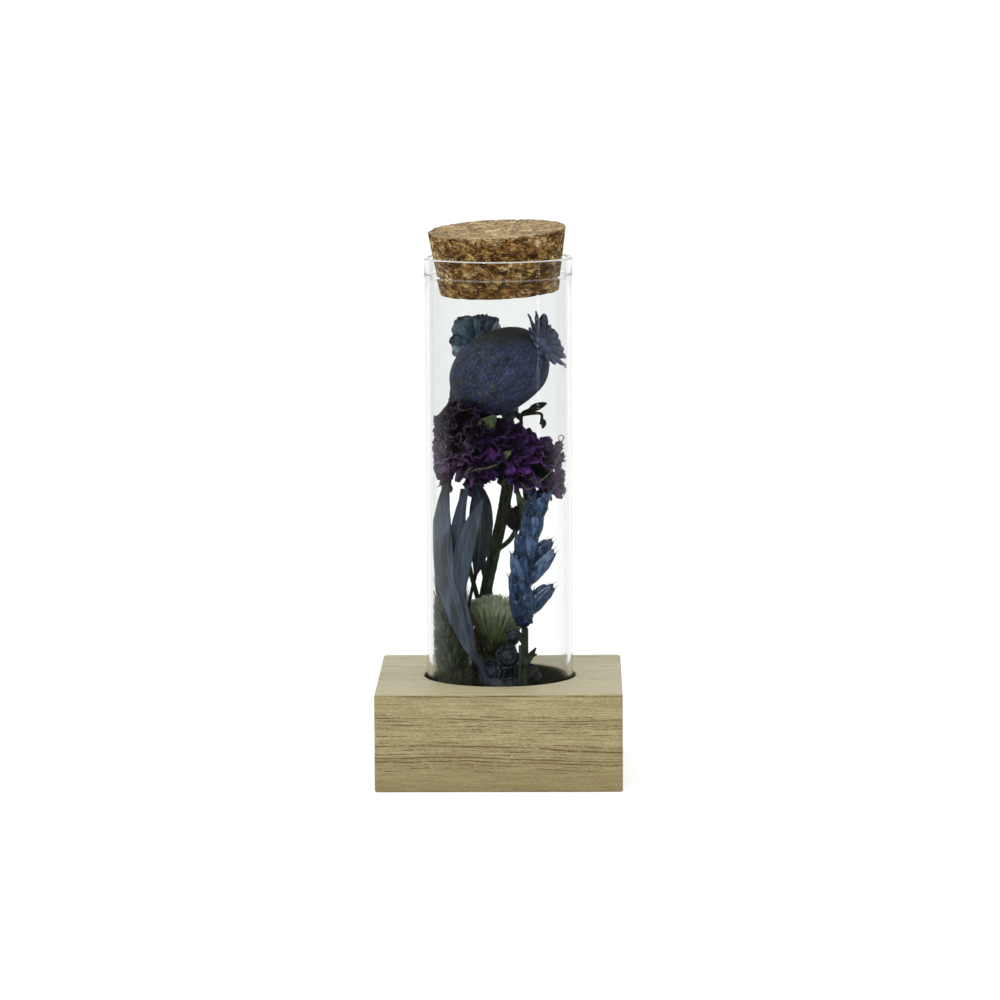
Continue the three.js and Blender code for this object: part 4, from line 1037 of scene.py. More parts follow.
def white_room():
    """World that is darker behind the camera, and darker still where the glass mirrors it."""
    world = bpy.data.worlds.new("room")
    bpy.context.scene.world = world
    world.use_nodes = True
    room = Nodes(world.node_tree)
    x, y, z = room.node("SeparateXYZ", room.node("TexCoord").outputs["Generated"]).outputs
    turned = room.blend((x, 0.1), start=y)
    round_light = room.span(turned, -0.43, -0.37, FRONT_LIGHT, ROUND_LIGHT)
    low = room.math("ADD", round_light, room.span(y, 0.3, 0.7, 0.0, BACK_LIGHT - ROUND_LIGHT))
    light = room.choose(room.span(z, 0.15, 0.5), low, TOP_LIGHT)
    mirrored = room.math(
        "ADD", room.span(y, -0.3, 0.35, MIRROR_FRONT, MIRROR_SIDE),
        room.span(y, 0.6, 0.85, 0.0, MIRROR_BACK),
    )
    path = room.node("LightPath").outputs
    bounced = room.math("MINIMUM", path["Glossy Depth"], 1.0)
    sharp = room.math("MAXIMUM", path["Is Transmission Ray"], path["Is Glossy Ray"])
    sharp = room.math("MAXIMUM", sharp, path["Is Camera Ray"])
    back = world.node_tree.nodes["Background"].inputs
    room.feed(back["Strength"], room.choose(sharp, light, room.choose(bounced, SEEN_ROOM, mirrored)))
    back["Color"].default_value = WHITE


def stage():
    """Pale floor, white room, soft lamps and the camera."""
    pale_floor()
    white_room()
    for name, place, size, power in LAMPS:
        data = bpy.data.lights.new(name, "AREA")
        data.shape = "RECTANGLE"
        data.size, data.size_y = size
        data.energy = power
        lamp = placed(name, data)
        lamp.location = place
        lamp.rotation_euler = (Vector(LAMP_TARGET) - Vector(place)).to_track_quat("-Z", "Y").to_euler()

    camera = placed("camera", bpy.data.cameras.new("camera"))
    camera.data.lens = CAMERA_LENS
    camera.data.sensor_width = SENSOR
    camera.data.clip_start = NEAREST
    turn = (
        Matrix.Rotation(CAMERA_AZIMUTH, 4, "Z")
        @ Matrix.Rotation(math.pi / 2 - CAMERA_PITCH, 4, "X")
        @ Matrix.Rotation(CAMERA_ROLL, 4, "Z")
    )
    camera.matrix_world = Matrix.Translation(CAMERA_PLACE) @ turn
    scene = bpy.context.scene
    scene.camera = camera
    scene.view_settings.view_transform = "Standard"
    scene.cycles.use_denoising = True
    scene.cycles.max_bounces = BOUNCES
    scene.cycles.transmission_bounces = BOUNCES
    scene.cycles.transparent_max_bounces = BOUNCES


def poppy():
    """Capsule with faint ribs, its neck and stem, and its flared crown."""
    t = np.linspace(0, 1, CAPSULE_ROWS)[:, None]
    knots = np.array(CAPSULE_PROFILE)
    profile = spline(np.column_stack([knots, np.zeros(len(knots))]), t[:, 0])
    angle = turns(CAPSULE_SIDES)
    middle = CAPSULE + CAPSULE_AXIS * profile[:, :1, None]
    ribs = 1 + 0.012 * np.cos(angle * CAPSULE_RIBS) * np.sin(math.pi * t) ** 0.5
    grid = around(middle, across(CAPSULE_AXIS), profile[:, 1:2] * ribs, angle)
    dents = 0.14 * rough(grid, 4.2, 3.0) + 0.04 * rough(grid, 1.1, 8.0) - 0.08
    shape = Shape()
    shape.loft(grid + unit(grid - middle) * dents[..., None], t, np.cos(angle * CAPSULE_RIBS))
    piece("poppy_body", shape, capsule_look(), "poppy_blue", "poppy_capsule")

    shape = Shape()
    shape.rod(POPPY_STEM, lambda t: 0.95 - 0.15 * t, 12, 60, lumps=0.06)
    shape.rod(POPPY_COLLAR, lambda t: 0.95 + 0.25 * np.sin(math.pi * t), 14, 8, lumps=0.08)
    piece("poppy_stem", shape, plant(
        "poppy_stem", [(34, 38, 40), (52, 58, 62), (70, 76, 72)], (0.6, 0.6, 3), relief=0.08,
    ), "poppy_blue", "poppy_capsule")

    shape = Shape()
    hub = CAPSULE + CAPSULE_AXIS * CROWN_HUB
    shape.bulb(hub, CROWN_AXIS, CROWN_BASE, 30, 0.06, 12)
    angle = turns(CROWN_SIDES)
    reach = np.full(CROWN_SIDES, CROWN_WEB)
    ribs = np.zeros(CROWN_SIDES)
    for turn, tip, half, sharp in CROWN_LOBES:
        off = np.abs((angle - math.radians(turn) + math.pi) % TAU - math.pi) / half
        reach = np.maximum(reach, CROWN_WEB + (tip - CROWN_WEB) * np.clip(1 - off ** sharp, 0, 1))
        ribs += np.exp(-(off / 0.4) ** 2)
    t = np.linspace(0, 1, CROWN_ROWS)[:, None]
    r = 0.8 + (reach - 0.8) * t
    fine = 0.3 * np.cos(45 * angle + 2 * np.sin(3 * angle))
    lift = 0.2 + 1.7 * (r / 6) ** 1.6 + 0.34 * (ribs + fine) * np.sin(math.pi * (0.1 + 0.8 * t))
    grid = around(hub + lift[..., None] * CROWN_AXIS, across(CROWN_AXIS), r, angle)
    grid = crumpled(grid, 0.22 * np.broadcast_to(t, r.shape), 1.1, 4.0)
    thick = 0.2 + 0.35 * (1 - t) + 0.1 * ribs
    shape.sheet(inside_glass(grid), thick, t, np.clip(1.6 - 2.6 * ribs, -1, 1), 0.5, wrap=True)
    # The veins darken the web between the lobes: painted shade in the gaps between the ridges
    piece("poppy_crown", shape, plant(
        "poppy_crown", [(22, 28, 34), (44, 52, 72), (66, 76, 106), (100, 110, 140)], (0.5, 0.5, 0.5),
        veins=0.5, depth=0.8, tone=0.0, along=0.2, relief=0.2,
    ), "poppy_blue", "poppy_capsule")


def capsule_look():
    """Slate blue bloom, streaked along the capsule, olive on top, with a few yellow green flecks."""
    look = Look("poppy_blue", 0.62, 0.35)
    tilt = math.atan2(CAPSULE_AXIS[2], CAPSULE_AXIS[0])
    cloud = look.noise((4.2, 2.6, 2.6), (0, -tilt, 0), 5.0, 0.65, 0.6)
    streak = look.noise((2.2, 0.5, 0.4), (0, -tilt + 0.1, 0.1), 5.0, 0.75, 0.9)
    cross = look.noise((1.8, 0.45, 0.36), (0, -tilt - 0.6, -0.1), 5.0, 0.75, 1.1)
    look.colour = look.tinted(
        look.blend((cloud, 0.55), (streak, 0.62), (cross, 0.58), start=-0.375),
        (0.3, 14, 18, 28), (0.44, 29, 37, 61), (0.58, 47, 58, 95), (0.76, 84, 98, 140),
    )
    lines = look.span(look.noise((2.4, 0.42, 0.3), (0, -tilt - 0.1, 0), 3.0, 0.6, 1.2), 0.56, 0.6)
    look.paint(lines, 0.75, 20, 25, 28)
    light = look.span(look.noise((1.9, 0.3, 0.22), (0, -tilt - 0.5, 0.3), 2.0, 0.5, 1.0), 0.6, 0.64)
    look.paint(light, 0.5, 104, 116, 150)
    look.paint(look.span(look.blend((cloud, 3.0), start=look.z), 88.6, 92.4), 0.75, 38, 40, 38)
    spots = look.span(look.noise((1.6, 0.7, 0.7), (0, 0.9, 0), 3.0, 0.65, 0.9), 0.57, 0.61)
    look.paint(look.times(spots, look.span(look.x, 2.5, -3.0)), 0.75, 90, 97, 42)
    return look.finish(look.blend((streak, 0.6), (cross, 0.5), (lines, -0.7), (light, 0.3)), 0.4)


def stem_look(name):
    colours = [(18, 24, 18), (34, 42, 32), (54, 62, 46)]
    return plant(name, colours, (0.5, 0.5, 5.0), relief=0.1, tone=0.0, roughness=0.65)


def teal_head():
    """Shallow cup of broad shining petals, in four layers, on its stem."""
    axes = across(TEAL_FACE)
    shape = Shape()
    thick = 0.26 - 0.12 * np.abs(np.linspace(-1, 1, TEAL_COLUMNS))
    for layer, (lengths, width, rise, turn, curl) in enumerate(TEAL_LAYERS):
        for k, length in enumerate(lengths):
            radial = ray(axes, TAU * (k + turn) / len(lengths))

            def notched(grid, t, s):
                notch = 0.35 * np.cos(s * math.pi * 3) * np.clip(t - 0.8, 0, 1) * 5
                return crumpled(grid + radial * notch[..., None], 0.14 * t + 0 * s, 1.2, k + 3 * layer)

            shape.petal(
                thick, (k * 0.41 + layer * 0.2) % 1, TEAL_MIDDLE + radial * 0.9,
                unit(radial + TEAL_FACE * rise), TEAL_FACE, length, width, curl, 0.34, foot=0.3,
                ruffle=0.16, waves=1.2, phase=k * 2.1 + layer, rows=20, columns=TEAL_COLUMNS,
                change=notched,
            )
    radial = ray(axes, TEAL_SPIKE)
    shape.petal(0.2, 0.2, TEAL_MIDDLE + radial * 3, radial, TEAL_FACE, 3.7, 1.6, 0.3, 0.3, pointed=0.6)
    shape.bulb(TEAL_MIDDLE, TEAL_FACE, TEAL_HEART, 20, 0.08, 5)
    piece("teal_petals", shape, plant(
        "teal_petal", [(28, 42, 54), (70, 90, 106), (106, 128, 146), (152, 172, 184)], 1.5,
        veins=3.0, depth=0.15, tone=0.5, along=0.3, roughness=0.24, shine=1.0, relief=0.2, border=0.6,
    ), "teal_petal", "teal_head")
    shape = Shape()
    shape.rod(TEAL_STEM, 0.75, 12, 60, lumps=0.05)
    piece("teal_stem", shape, stem_look("teal_stem"), "teal_petal", "teal_head")


def small_bud():
    """Bud wrapped in a few overlapping leaves, on its thin stem."""
    axes = across(BUD_AXIS)
    shape = Shape()
    shape.bulb(SMALL_BUD, BUD_AXIS, BUD_HEART, 24, 0.05, 6, tone=0.4)
    for k, angle in enumerate(turns(BUD_LEAVES)):
        radial = ray(axes, angle)
        shape.petal(
            0.2, (k * 0.4) % 1, SMALL_BUD - BUD_AXIS * 1.9 + radial * 1.1, unit(BUD_AXIS + radial * 0.42),
            radial, 3.4, 1.9, -0.28, -0.2, 0.5, ruffle=0.06,
        )
    piece("small_bud_leaves", shape, plant(
        "bud_green", [(30, 42, 48), (50, 66, 76), (72, 90, 98)], 1.0, veins=4.0, depth=0.3,
    ), "bud_green", "small_bud")
    shape = Shape()
    shape.rod(SMALL_BUD_STEM, 0.6, 10, 50, lumps=0.05)
    piece("small_bud_stem", shape, stem_look("bud_stem"), "bud_green", "small_bud")


def statice_places():
    """Root, mouth, radius and turn of every calyx, by the rule of the solids."""
    random = Draws(41)
    for core, reach, count, turn in STATICE_BRANCHES:
        path = Path(core)
        for i in range(count):
            t = (i + 0.5) / count
            tangent = path.way(t)[0]
            lean = END_LEAN * (2 * t - 1) ** 3
            out = ray(across(tangent), turn + i * GOLDEN_ANGLE) * math.cos(lean) + tangent * math.sin(lean)
            root = path.at(t)[0]
            length = reach * random(0.92, 1.06) * (BACK_REACH if out[1] > 0 else 1)
            mouth = fitted(root + out * length, MOUTH_ROOM)
            if not any(np.all((low <= mouth) & (mouth <= high)) for low, high in ROOMS):
                radius = CALYX_RADIUS * random(0.9, 1.08)
                yield root + out * CALYX_ROOT, mouth, radius, random(0, math.pi)


def lowered(points):
    """The points, held below the capsule and the bud and inside the glass, with a ragged outline."""
    x = points[..., 0]
    uneven = rough(points, 1.1, 4.2)
    limit = np.interp(x, *SHOULDER) + 0.3 * np.sin(2.3 * x) + 1.3 * uneven
    moved = points.copy()
    moved[..., 2] -= np.maximum(points[..., 2] - limit, 0) * 0.94
    return fitted(moved, ROOM - 0.45 + 0.9 * np.minimum(uneven, 0.5))


def funnel(shape, root, mouth, radius, turn, tone, folds, depth, crumple, seed, rows=14, columns=64):
    """Papery funnel with a pleated, crumpled and ragged rim."""
    direction = unit(mouth - root)
    reach = np.linalg.norm(mouth - root)
    t = np.linspace(0, 1, rows)[:, None]
    a = turns(columns)[None]
    fold = np.cos(folds * a + turn + 0.9 * np.sin(2 * a + seed))
    fold = np.sign(fold) * np.abs(fold) ** 0.8
    ragged = 0.1 * np.cos(13 * a + seed) + 0.07 * np.cos(23 * a - 2 * seed)
    r = radius * (0.14 + 0.98 * t ** 1.25) * (1 + depth * t * fold)
    h = reach * t * (1 + ragged * t * 0.6) + radius * depth * 0.8 * t * t * np.cos(folds * a + turn + 1.4)
    points = around(root + direction * h[..., None], across(direction), r, a)
    loose = crumple * np.broadcast_to(t, r.shape)
    points = crumpled(crumpled(points, loose, 1.9, seed), loose * 0.6, 0.7, seed + 5)
    shape.sheet(lowered(points), 0.1, t, fold, tone, wrap=True)


def frills(shape, root, mouth, radius, tone, random):
    """Small crumpled scraps of paper that stand round the rim of a calyx and inside it."""
    direction = unit(mouth - root)
    for k in range(FRILLS):
        (turn, spread, sunk, lean, size, broad, curl, cup, ruffle, waves, phase, seed,
         lighter) = random.each(FRILL_DRAWS)
        radial = ray(across(direction), k * GOLDEN_ANGLE + turn)

        def crushed(grid, t, s):
            return lowered(crumpled(grid, np.full(grid.shape[:2], 0.36), 0.7, seed))

        shape.petal(
            0.09, (tone + lighter) % 1, mouth - direction * sunk + radial * radius * spread,
            unit(direction + radial * lean), radial, size, size * broad, curl, cup, ruffle=ruffle,
            waves=waves, phase=phase, rows=9, columns=8, change=crushed,
        )


def statice():
    """Papery calyces of the spray, each a pleated funnel with a smaller folded one inside it."""
    papers = Shape()
    ruffles = Shape()
    random = Draws(71)
    for k, (root, mouth, radius, turn) in enumerate(statice_places()):
        tone = (k * 0.381) % 1
        inner = root + (mouth - root) * 0.86
        funnel(papers, root, mouth, radius * 1.12, turn, tone, 5 + k % 3, 0.24, 0.62, k * 1.37)
        funnel(
            papers, root, inner, radius * 0.66, turn + 1.1, (tone + 0.45) % 1, 4, 0.34, 0.5, k * 2.11 + 7,
            rows=10, columns=38,
        )
        frills(ruffles, root, mouth, radius, tone, random)
    for root, mouth, radius in EXTRA_CALYCES:
        funnel(papers, vec(*root), vec(*mouth), radius, 0.6, 0.3, 5, 0.26, 0.6, radius * 9)
        frills(ruffles, vec(*root), vec(*mouth), radius, 0.3, random)
    look = statice_look()
    piece("statice_calyx_papers", papers, look, "statice_purple", "statice_calyces")
    piece("statice_calyx_ruffles", ruffles, look, "statice_purple", "statice_calyces")
    shape = Shape()
    for core, *_ in STATICE_BRANCHES:
        shape.rod(core, lambda t: BRANCH_RADIUS * (0.5 + 0.4 * np.sin(math.pi * t)), 20, 20, lumps=0.16)
    # Near-black branch cores: painted shade in the heart of the spray
    piece("statice_branches", shape, plant(
        "statice_heart", [(9, 7, 11), (17, 12, 20), (28, 26, 22)], 0.9, relief=0.3,
    ), "statice_purple", "statice_calyces")


def statice_look():
    """Purple paper, plum towards the sides, darker at the foot, with painted shade in the folds, under the
    capsule and round a brighter middle patch.
    """
    look = Look("statice_purple", 0.75, 0.2)
    mottle = look.noise(1.2, detail=6.0, grit=0.7, warp=0.6)
    lines = look.noise((0.3, 0.3, 1.2), grit=0.65, warp=0.8)
    shade = look.blend((mottle, 0.9), (look.tone, 0.35), (look.along, 0.35), (lines, 0.3), start=-0.42)
    vivid = look.tinted(
        shade, (0.2, 8, 4, 13), (0.42, 27, 11, 40), (0.6, 54, 21, 78), (0.85, 96, 48, 126),
    )
    plum = look.tinted(
        shade, (0.2, 21, 12, 22), (0.42, 60, 40, 62), (0.6, 100, 72, 106), (0.85, 136, 112, 142),
    )
    left = look.span(look.x, -3.4, -8.0)
    right = look.span(look.x, 6.0, 12.0, 0.0, 0.55)
    look.colour = look.mix(look.math("MAXIMUM", left, right), vivid, plum)
    # Painted light: a brighter patch in the middle front of the spray, darker away from it
    aside = look.math("POWER", look.times(look.math("SUBTRACT", look.x, 3.0), 1 / 9.5), 2.0)
    above = look.math("POWER", look.times(look.math("SUBTRACT", look.z, 63.5), 1 / 5.2), 2.0)
    look.paint(look.span(look.blend((above, 1.0), (mottle, 0.6), start=aside), 0.8, 1.6), 0.22, 22, 12, 26)
    # Painted shadow of the capsule: darker high up in the spray
    look.paint(look.span(look.blend((mottle, 2.0), start=look.z), 68.0, 73.5), 0.6, 18, 12, 24)
    # Painted shade in the valleys of the folds
    look.paint(look.span(look.over, -0.2, -0.9), 0.6, 12, 7, 16)
    brink = look.times(look.span(look.along, 0.93, 1.0), look.span(lines, 0.4, 0.6))
    look.paint(brink, 0.18, 134, 108, 150)
    # Painted glints: small pale specks
    look.paint(look.span(look.noise(0.34, detail=1.0), 0.735, 0.76), 0.8, 178, 170, 190)
    return look.finish(
        look.blend((mottle, 0.6), (lines, 0.6), (look.noise(0.5, detail=3.0), 0.5)), 0.5, papery=0.18,
    )


def statice_stem():
    """Winged stem, side branch with its bract, left branch, tendrils and two green bracts."""
    shape = Shape()
    shape.rod(STATICE_STEM, 0.62, 12, 60, tone=0.4, lumps=0.05)
    path = Path(STATICE_STEM)
    t = np.linspace(0, 1, 90)
    s = np.linspace(0, 1, 6)[None]
    centre = path.at(t)
    way = path.way(t)
    side = unit(np.cross(way, vec(0.25, -0.95, 0.1)))
    out = np.cross(side, way)
    for sign in (1, -1):
        teeth = 1 + 0.12 * rough(centre * vec(1, 1, 1.4), 0.8, 3 * sign)[:, None]
        reach = (0.35 + 0.9 * s * np.where(s > 0.5, teeth, 1)) * sign
        lift = 0.08 * np.sin(t * 40 + sign)[:, None] * s ** 2
        grid = centre[:, None] + side[:, None] * reach[..., None] + out[:, None] * lift[..., None]
        shape.sheet(grid, 0.4 - 0.25 * s, t[:, None], s * sign, 0.6)
    shape.rod(STATICE_SIDE_BRANCH, 0.5, 10, 40, tone=0.6, lumps=0.08)
    shape.rod(STATICE_LEFT_BRANCH, 0.5, 10, 30, tone=0.4, lumps=0.08)
    shape.leaf(BRACT, 2.5, (-0.4, -0.9, 0), tone=0.95, rows=30)
    for points, radius in TENDRILS:
        shape.rod(points, lambda t: radius * (1 - 0.45 * t), 7, 30, tone=0.95)
    for rib, width, face in GREEN_BRACTS:
        shape.leaf(rib, width, face, 0.3, tone=1.0, wave=0.2, seed=width)
    piece("statice_stem_winged", shape, plant(
        "stem_green", [(18, 24, 20), (37, 46, 36), (62, 74, 46), (98, 110, 68)], (0.5, 0.5, 4.5),
        tone=0.6, veins=3.0, depth=0.3, relief=0.1,
    ), "stem_green", "statice_stem")


def young_calyx():
    shape = Shape()
    shape.rod(YOUNG_CALYX, lambda t: 0.35 + 0.7 * np.sin(math.pi * (0.1 + 0.75 * t)), 22, 26, lumps=0.2)
    random = Draws(5)
    path = Path(YOUNG_CALYX)
    for k in range(YOUNG_PETALS):
        at = 0.1 + 0.075 * k
        radial = unit(vec(math.cos(k * 2.4), math.sin(k * 2.4), 0.1))
        shape.petal(
            0.16, (k * 0.4) % 1, path.at(at)[0] + radial * 0.5,
            unit(path.way(at)[0] + radial * 0.55), radial, 1.7, 1.2, -0.1, -0.2, 0.5, ruffle=0.3,
            phase=random(0, 6),
            change=lambda grid, t, s: crumpled(grid, np.full(grid.shape[:2], 0.16), 0.6, k),
        )
    piece("young_calyx_folded", shape, plant(
        "young_calyx", [(16, 11, 14), (30, 22, 28), (56, 44, 52)], 0.7, veins=4.0,
    ), "dark_stem", "young_calyx")


def dark_twig():
    shape = Shape()
    for rib in TWIGS:
        shape.rod(rib, lambda t: 0.4 - 0.16 * t, 9, 24, lumps=0.12)
    for k, (rib, width, face) in enumerate(TWIG_BRACTS):
        shape.leaf(rib, width, face, 0.25, 0.5, 0.05, 0.3 + 0.2 * k, 22, wave=0.12, seed=k)
    piece("dark_twig_bracts", shape, plant(
        "dark_stem", [(14, 18, 12), (28, 34, 22), (44, 50, 32)], (0.5, 0.5, 1.2),
    ), "dark_stem", "dark_twig")


def leafy_sprig():
    shape = Shape()
    shape.rod(SPRIG_FOOT, 0.75, 12, 24, tone=0.2)
    for k, (rib, width, face, widest, stalk, tone, wave) in enumerate(LEAVES):
        shape.leaf(rib, width, face, 0.18, widest, stalk, tone, 70, 17, wave, k * 2.3)
    piece("sprig_leaves", shape, leaf_look(), "leaf_grey", "leafy_sprig")


def leaf_look():
    """Slate leaves with an olive cast, parallel veins, a paler midrib and dark edges."""
    look = Look("leaf_grey", 0.55, 0.35)
    mottle = look.noise((1.1, 1.1, 6.0), detail=5.0, grit=0.6)
    look.colour = look.tinted(
        look.blend((mottle, 0.9), (look.tone, 0.75), start=-0.3),
        (0.12, 18, 25, 36), (0.4, 44, 56, 74), (0.62, 68, 80, 98), (0.85, 98, 110, 124),
    )
    look.paint(look.span(look.noise((2.2, 2.2, 9.0), detail=2.0), 0.47, 0.62), 0.7, 56, 62, 54)
    veins = look.span(look.math("SINE", look.times(look.over, 15 * math.pi)), 0.2, 1.0)
    look.paint(veins, 0.45, 26, 33, 42)
    beside = look.math("ABSOLUTE", look.over)
    look.paint(look.span(beside, 0.1, 0.03), 0.45, 96, 104, 108)
    look.paint(look.span(beside, 0.86, 1.0), 0.8, 27, 25, 42)
    return look.finish(look.blend((veins, -0.6), (mottle, 0.5)), 0.1, papery=0.1)


def husk(shape, base, along, length, width, out, tone, seed):
    """Boat-shaped scale of the ear: round-backed with a keel, open in front, with a sharp tip."""
    out = unit(out - along * (out @ along))
    side = np.cross(along, out)
    t = np.linspace(0, 1, 22)[:, None]
    s = np.linspace(-1, 1, 15)[None]
    body = np.sin(math.pi * np.clip(0.1 + 0.9 * t, 0, 1)) ** 0.62 * (1 - 0.25 * t) + 0.03
    half = width / 2 * body
    keel = 0.16 * np.exp(-(s / 0.16) ** 2)
    nerves = 0.035 * np.cos(s * math.pi * 4)
    lift = width * 0.36 * body * (np.sqrt(1.02 - s * s) + keel + nerves) + 0.05 * length * t * t
    grid = base + along * (length * t)[..., None] + side * (half * s)[..., None] + out * lift[..., None]
    grid = crumpled(grid, np.full(grid.shape[:2], 0.12), 1.1, seed)
    shape.sheet(inside_glass(grid), 0.2, t, s, tone)


def spikelet(shape, extra, base, along, length, width, out, splay=1.0):
    """Three husks side by side. Gives the tip, direction and face of each."""
    side = np.cross(along, out)
    tips = []
    for k, (turn, share, shift, narrow) in enumerate(HUSKS):
        turn *= splay
        lean = unit(along + side * turn * 0.22)
        start = base + side * turn * width * 0.34 - out * 0.25 * k + along * shift
        husk(
            shape, start - out * width * 0.2, lean, length * share, width * narrow, out + side * turn,
            extra(), extra(0, 50),
        )
        tips.append((start + lean * length * share, lean, out))
    return tips


def wheat_ear():
    """Ear of overlapping spikelets on four sides, with short awns and loose hairs."""
    random = Draws(17)
    extra = Draws(99)
    path = Path(EAR_AXIS)
    shape = Shape()
    shape.rod(EAR_AXIS, lambda t: 1.7 - 0.9 * t, 16, 30, tone=0.1, lumps=0.1)
    awns = []
    for i in range(EAR_ROWS):
        t = min((i + 0.1) / (EAR_ROWS - 0.8), 1)
        base = path.at(t)[0]
        up = path.way(t)[0]
        spread = 1 - 0.16 * t
        for row, out in enumerate(EAR_SIDES):
            start = base + up * (0.9 if row % 2 else -0.6) + out * 0.8 * spread
            along = unit(up + out * random(0.24, 0.4) * spread)
            length = SCALE_LENGTH * random(0.85, 1) * spread ** 0.5
            width = SCALE_WIDTH * random(0.85, 1) * spread ** 0.5
            awns += spikelet(shape, extra, start, along, length, width, unit(out))
    for foot, tip, width in EAR_TIPS:
        along = vec(*tip) - vec(*foot)
        length = np.linalg.norm(along) * 0.94
        awns += spikelet(shape, extra, vec(*foot), unit(along), length, width, unit(vec(0.25, -1, 0)), 0.5)
    tips, ways, outs = np.array(awns).transpose(1, 0, 2)
    shape.hairs(tips - ways * 0.9, tips, inside_glass(tips + ways * 0.9 + outs * 0.15), 0.12, 0.03, 0.9)
    t = extra.many(EAR_HAIRS, 0.0, 0.98)
    radial = ray(LEVEL, extra.many(EAR_HAIRS, 0, TAU))
    start = path.at(t) + radial * ((1.75 - 0.7 * t) * np.clip(0.4 + 6 * t, 0, 1))[:, None]
    way = path.way(t) + radial * 0.7
    end = inside_glass(start + way * extra.many(EAR_HAIRS, 0.8, 1.5)[:, None])
    shape.hairs(start, (start + end) / 2 + radial * 0.1, end, 0.035, 0.012, 1.0, 2)
    # The pale specks on the husks are painted glints
    piece("wheat_husks", shape, plant(
        "wheat_blue", [(10, 19, 35), (27, 43, 70), (50, 73, 108), (98, 122, 156)], (1.0, 1.0, 1.7),
        tone=0.55, along=0.3, veins=4.0, depth=0.18, roughness=0.22, shine=1.0, relief=0.22,
        glints=(190, 202, 216), border=0.4,
    ), "wheat_blue", "wheat_ear")


def wheat_straws():
    shape = Shape()
    shape.rod(STRAWS[0], 0.62, 14, 40, lumps=0.06)
    shape.rod(STRAWS[1], 0.52, 12, 40, lumps=0.06, tone=0.8)
    shape.rod(STRAW_KNOT, lambda t: 0.8 + 0.25 * np.sin(math.pi * t), 14, 8)
    for base, along, length, width, tone in STRAW_BRACTS:
        shape.petal(
            0.2, tone, vec(*base), unit(vec(*along)), vec(0.2, -1, 0.4), length, width, 0.15, 0.3, 0.75,
            ruffle=0.12,
        )
    piece("wheat_straw_stems", shape, plant(
        "straw_green", [(14, 22, 16), (27, 38, 28), (44, 56, 40), (80, 90, 62)], (0.4, 0.4, 6.0),
        relief=0.08,
    ), "stem_green", "wheat_straws")


def brush_base():
    """Scaly green base of the brush-like head, with thin bracts, on its stem."""
    axes = across(BRUSH_AXIS)
    shape = Shape()
    shape.bulb(BRUSH_FOOT, BRUSH_AXIS, BRUSH_BASE, 30, 0.05, 9, tone=0.1)
    for row, (at, count, radius) in enumerate(BRUSH_SCALES):
        for k in range(count):
            radial = ray(axes, TAU * (k + row / 2) / count)
            shape.petal(
                0.22, (k * 0.38) % 1, BRUSH_FOOT + BRUSH_AXIS * at + radial * radius,
                unit(BRUSH_AXIS + radial * 0.22), radial, 3.6, 1.9, 0.05, -0.2, 0.7, ruffle=0.06, columns=9,
            )
    random = Draws(57)
    for k in range(BRUSH_BRACTS):
        lean, length, width, curl, phase, tone = random.each(BRACT_DRAWS)
        radial = ray(axes, k * GOLDEN_ANGLE)
        height = 4.6 * (k + 0.5) / BRUSH_BRACTS
        shape.petal(
            0.14, tone, BRUSH_FOOT + BRUSH_AXIS * height + radial * (1.4 + 0.4 * height),
            unit(BRUSH_AXIS + radial * lean), radial, length, width, curl, 0.2, 0.8, ruffle=0.1, waves=1.5,
            phase=phase, rows=10, columns=5,
        )
    shape.rod(BRUSH_STEM, 0.8, 12, 30, lumps=0.05, tone=0.3)
    piece("brush_scales", shape, plant(
        "brush_base", [(26, 33, 22), (50, 59, 38), (72, 82, 44), (116, 124, 70)], 0.9, veins=4.0, depth=0.3,
        tone=0.4, along=0.4, relief=0.15,
    ), "stem_green", "brush_base")


def brush_florets():
    """Fan of very many thin pale florets."""
    side, other = across(BRUSH_AXIS, vec(0, 1, 0))
    foot = BRUSH_FOOT + BRUSH_AXIS * (BRUSH_BASE_TOP - BRUSH_FOOT[2] + 0.3)
    random = Draws(23)
    shape = Shape()
    shape.loft([
        around(foot + BRUSH_AXIS * at, (side, other * deep / wide), wide, turns(24))
        for at, wide, deep in FLORET_CORE
    ], along=np.array([0.0, 0.2, 0.35, 0.5])[:, None], tone=0.2)
    i = np.arange(FLORETS)
    share = np.sqrt((i + 0.5) / FLORETS)[:, None]
    radial = ray((side, other * FLORET_FLATNESS), i * GOLDEN_ANGLE)
    jitter = random.many(3 * FLORETS, -0.06, 0.06).reshape(-1, 3)
    along = unit(BRUSH_AXIS + radial * FLORET_SPREAD * share + jitter)
    start = foot + radial * 2 * share + BRUSH_AXIS * 0.2
    reach = random.many(FLORETS, 8.6, 10.8)[:, None] * (1 - 0.14 * share)
    end = inside_glass(start + along * reach)
    mid = (start + end) / 2 - radial * 0.35 + jitter * 4
    shape.hairs(start, mid, end, 0.16, 0.11, random.many(FLORETS, 0, 1), 5)
    piece("brush_floret_fan", shape, brush_look(), "brush_green", "brush_florets")


def brush_look():
    """Pale green florets with darker feet and yellow green streaks."""
    look = Look("brush_green", 0.75, 0.2)
    mottle = look.noise((0.6, 0.6, 2.5), detail=3.0)
    look.colour = look.tinted(
        look.blend((look.along, 0.68), (look.tone, 0.42), (mottle, 0.35), start=-0.16),
        (0.05, 40, 48, 32), (0.3, 78, 89, 56), (0.5, 112, 124, 84), (0.75, 136, 148, 118),
        (1.0, 164, 173, 148),
    )
    return look.finish(mottle, 0.1)


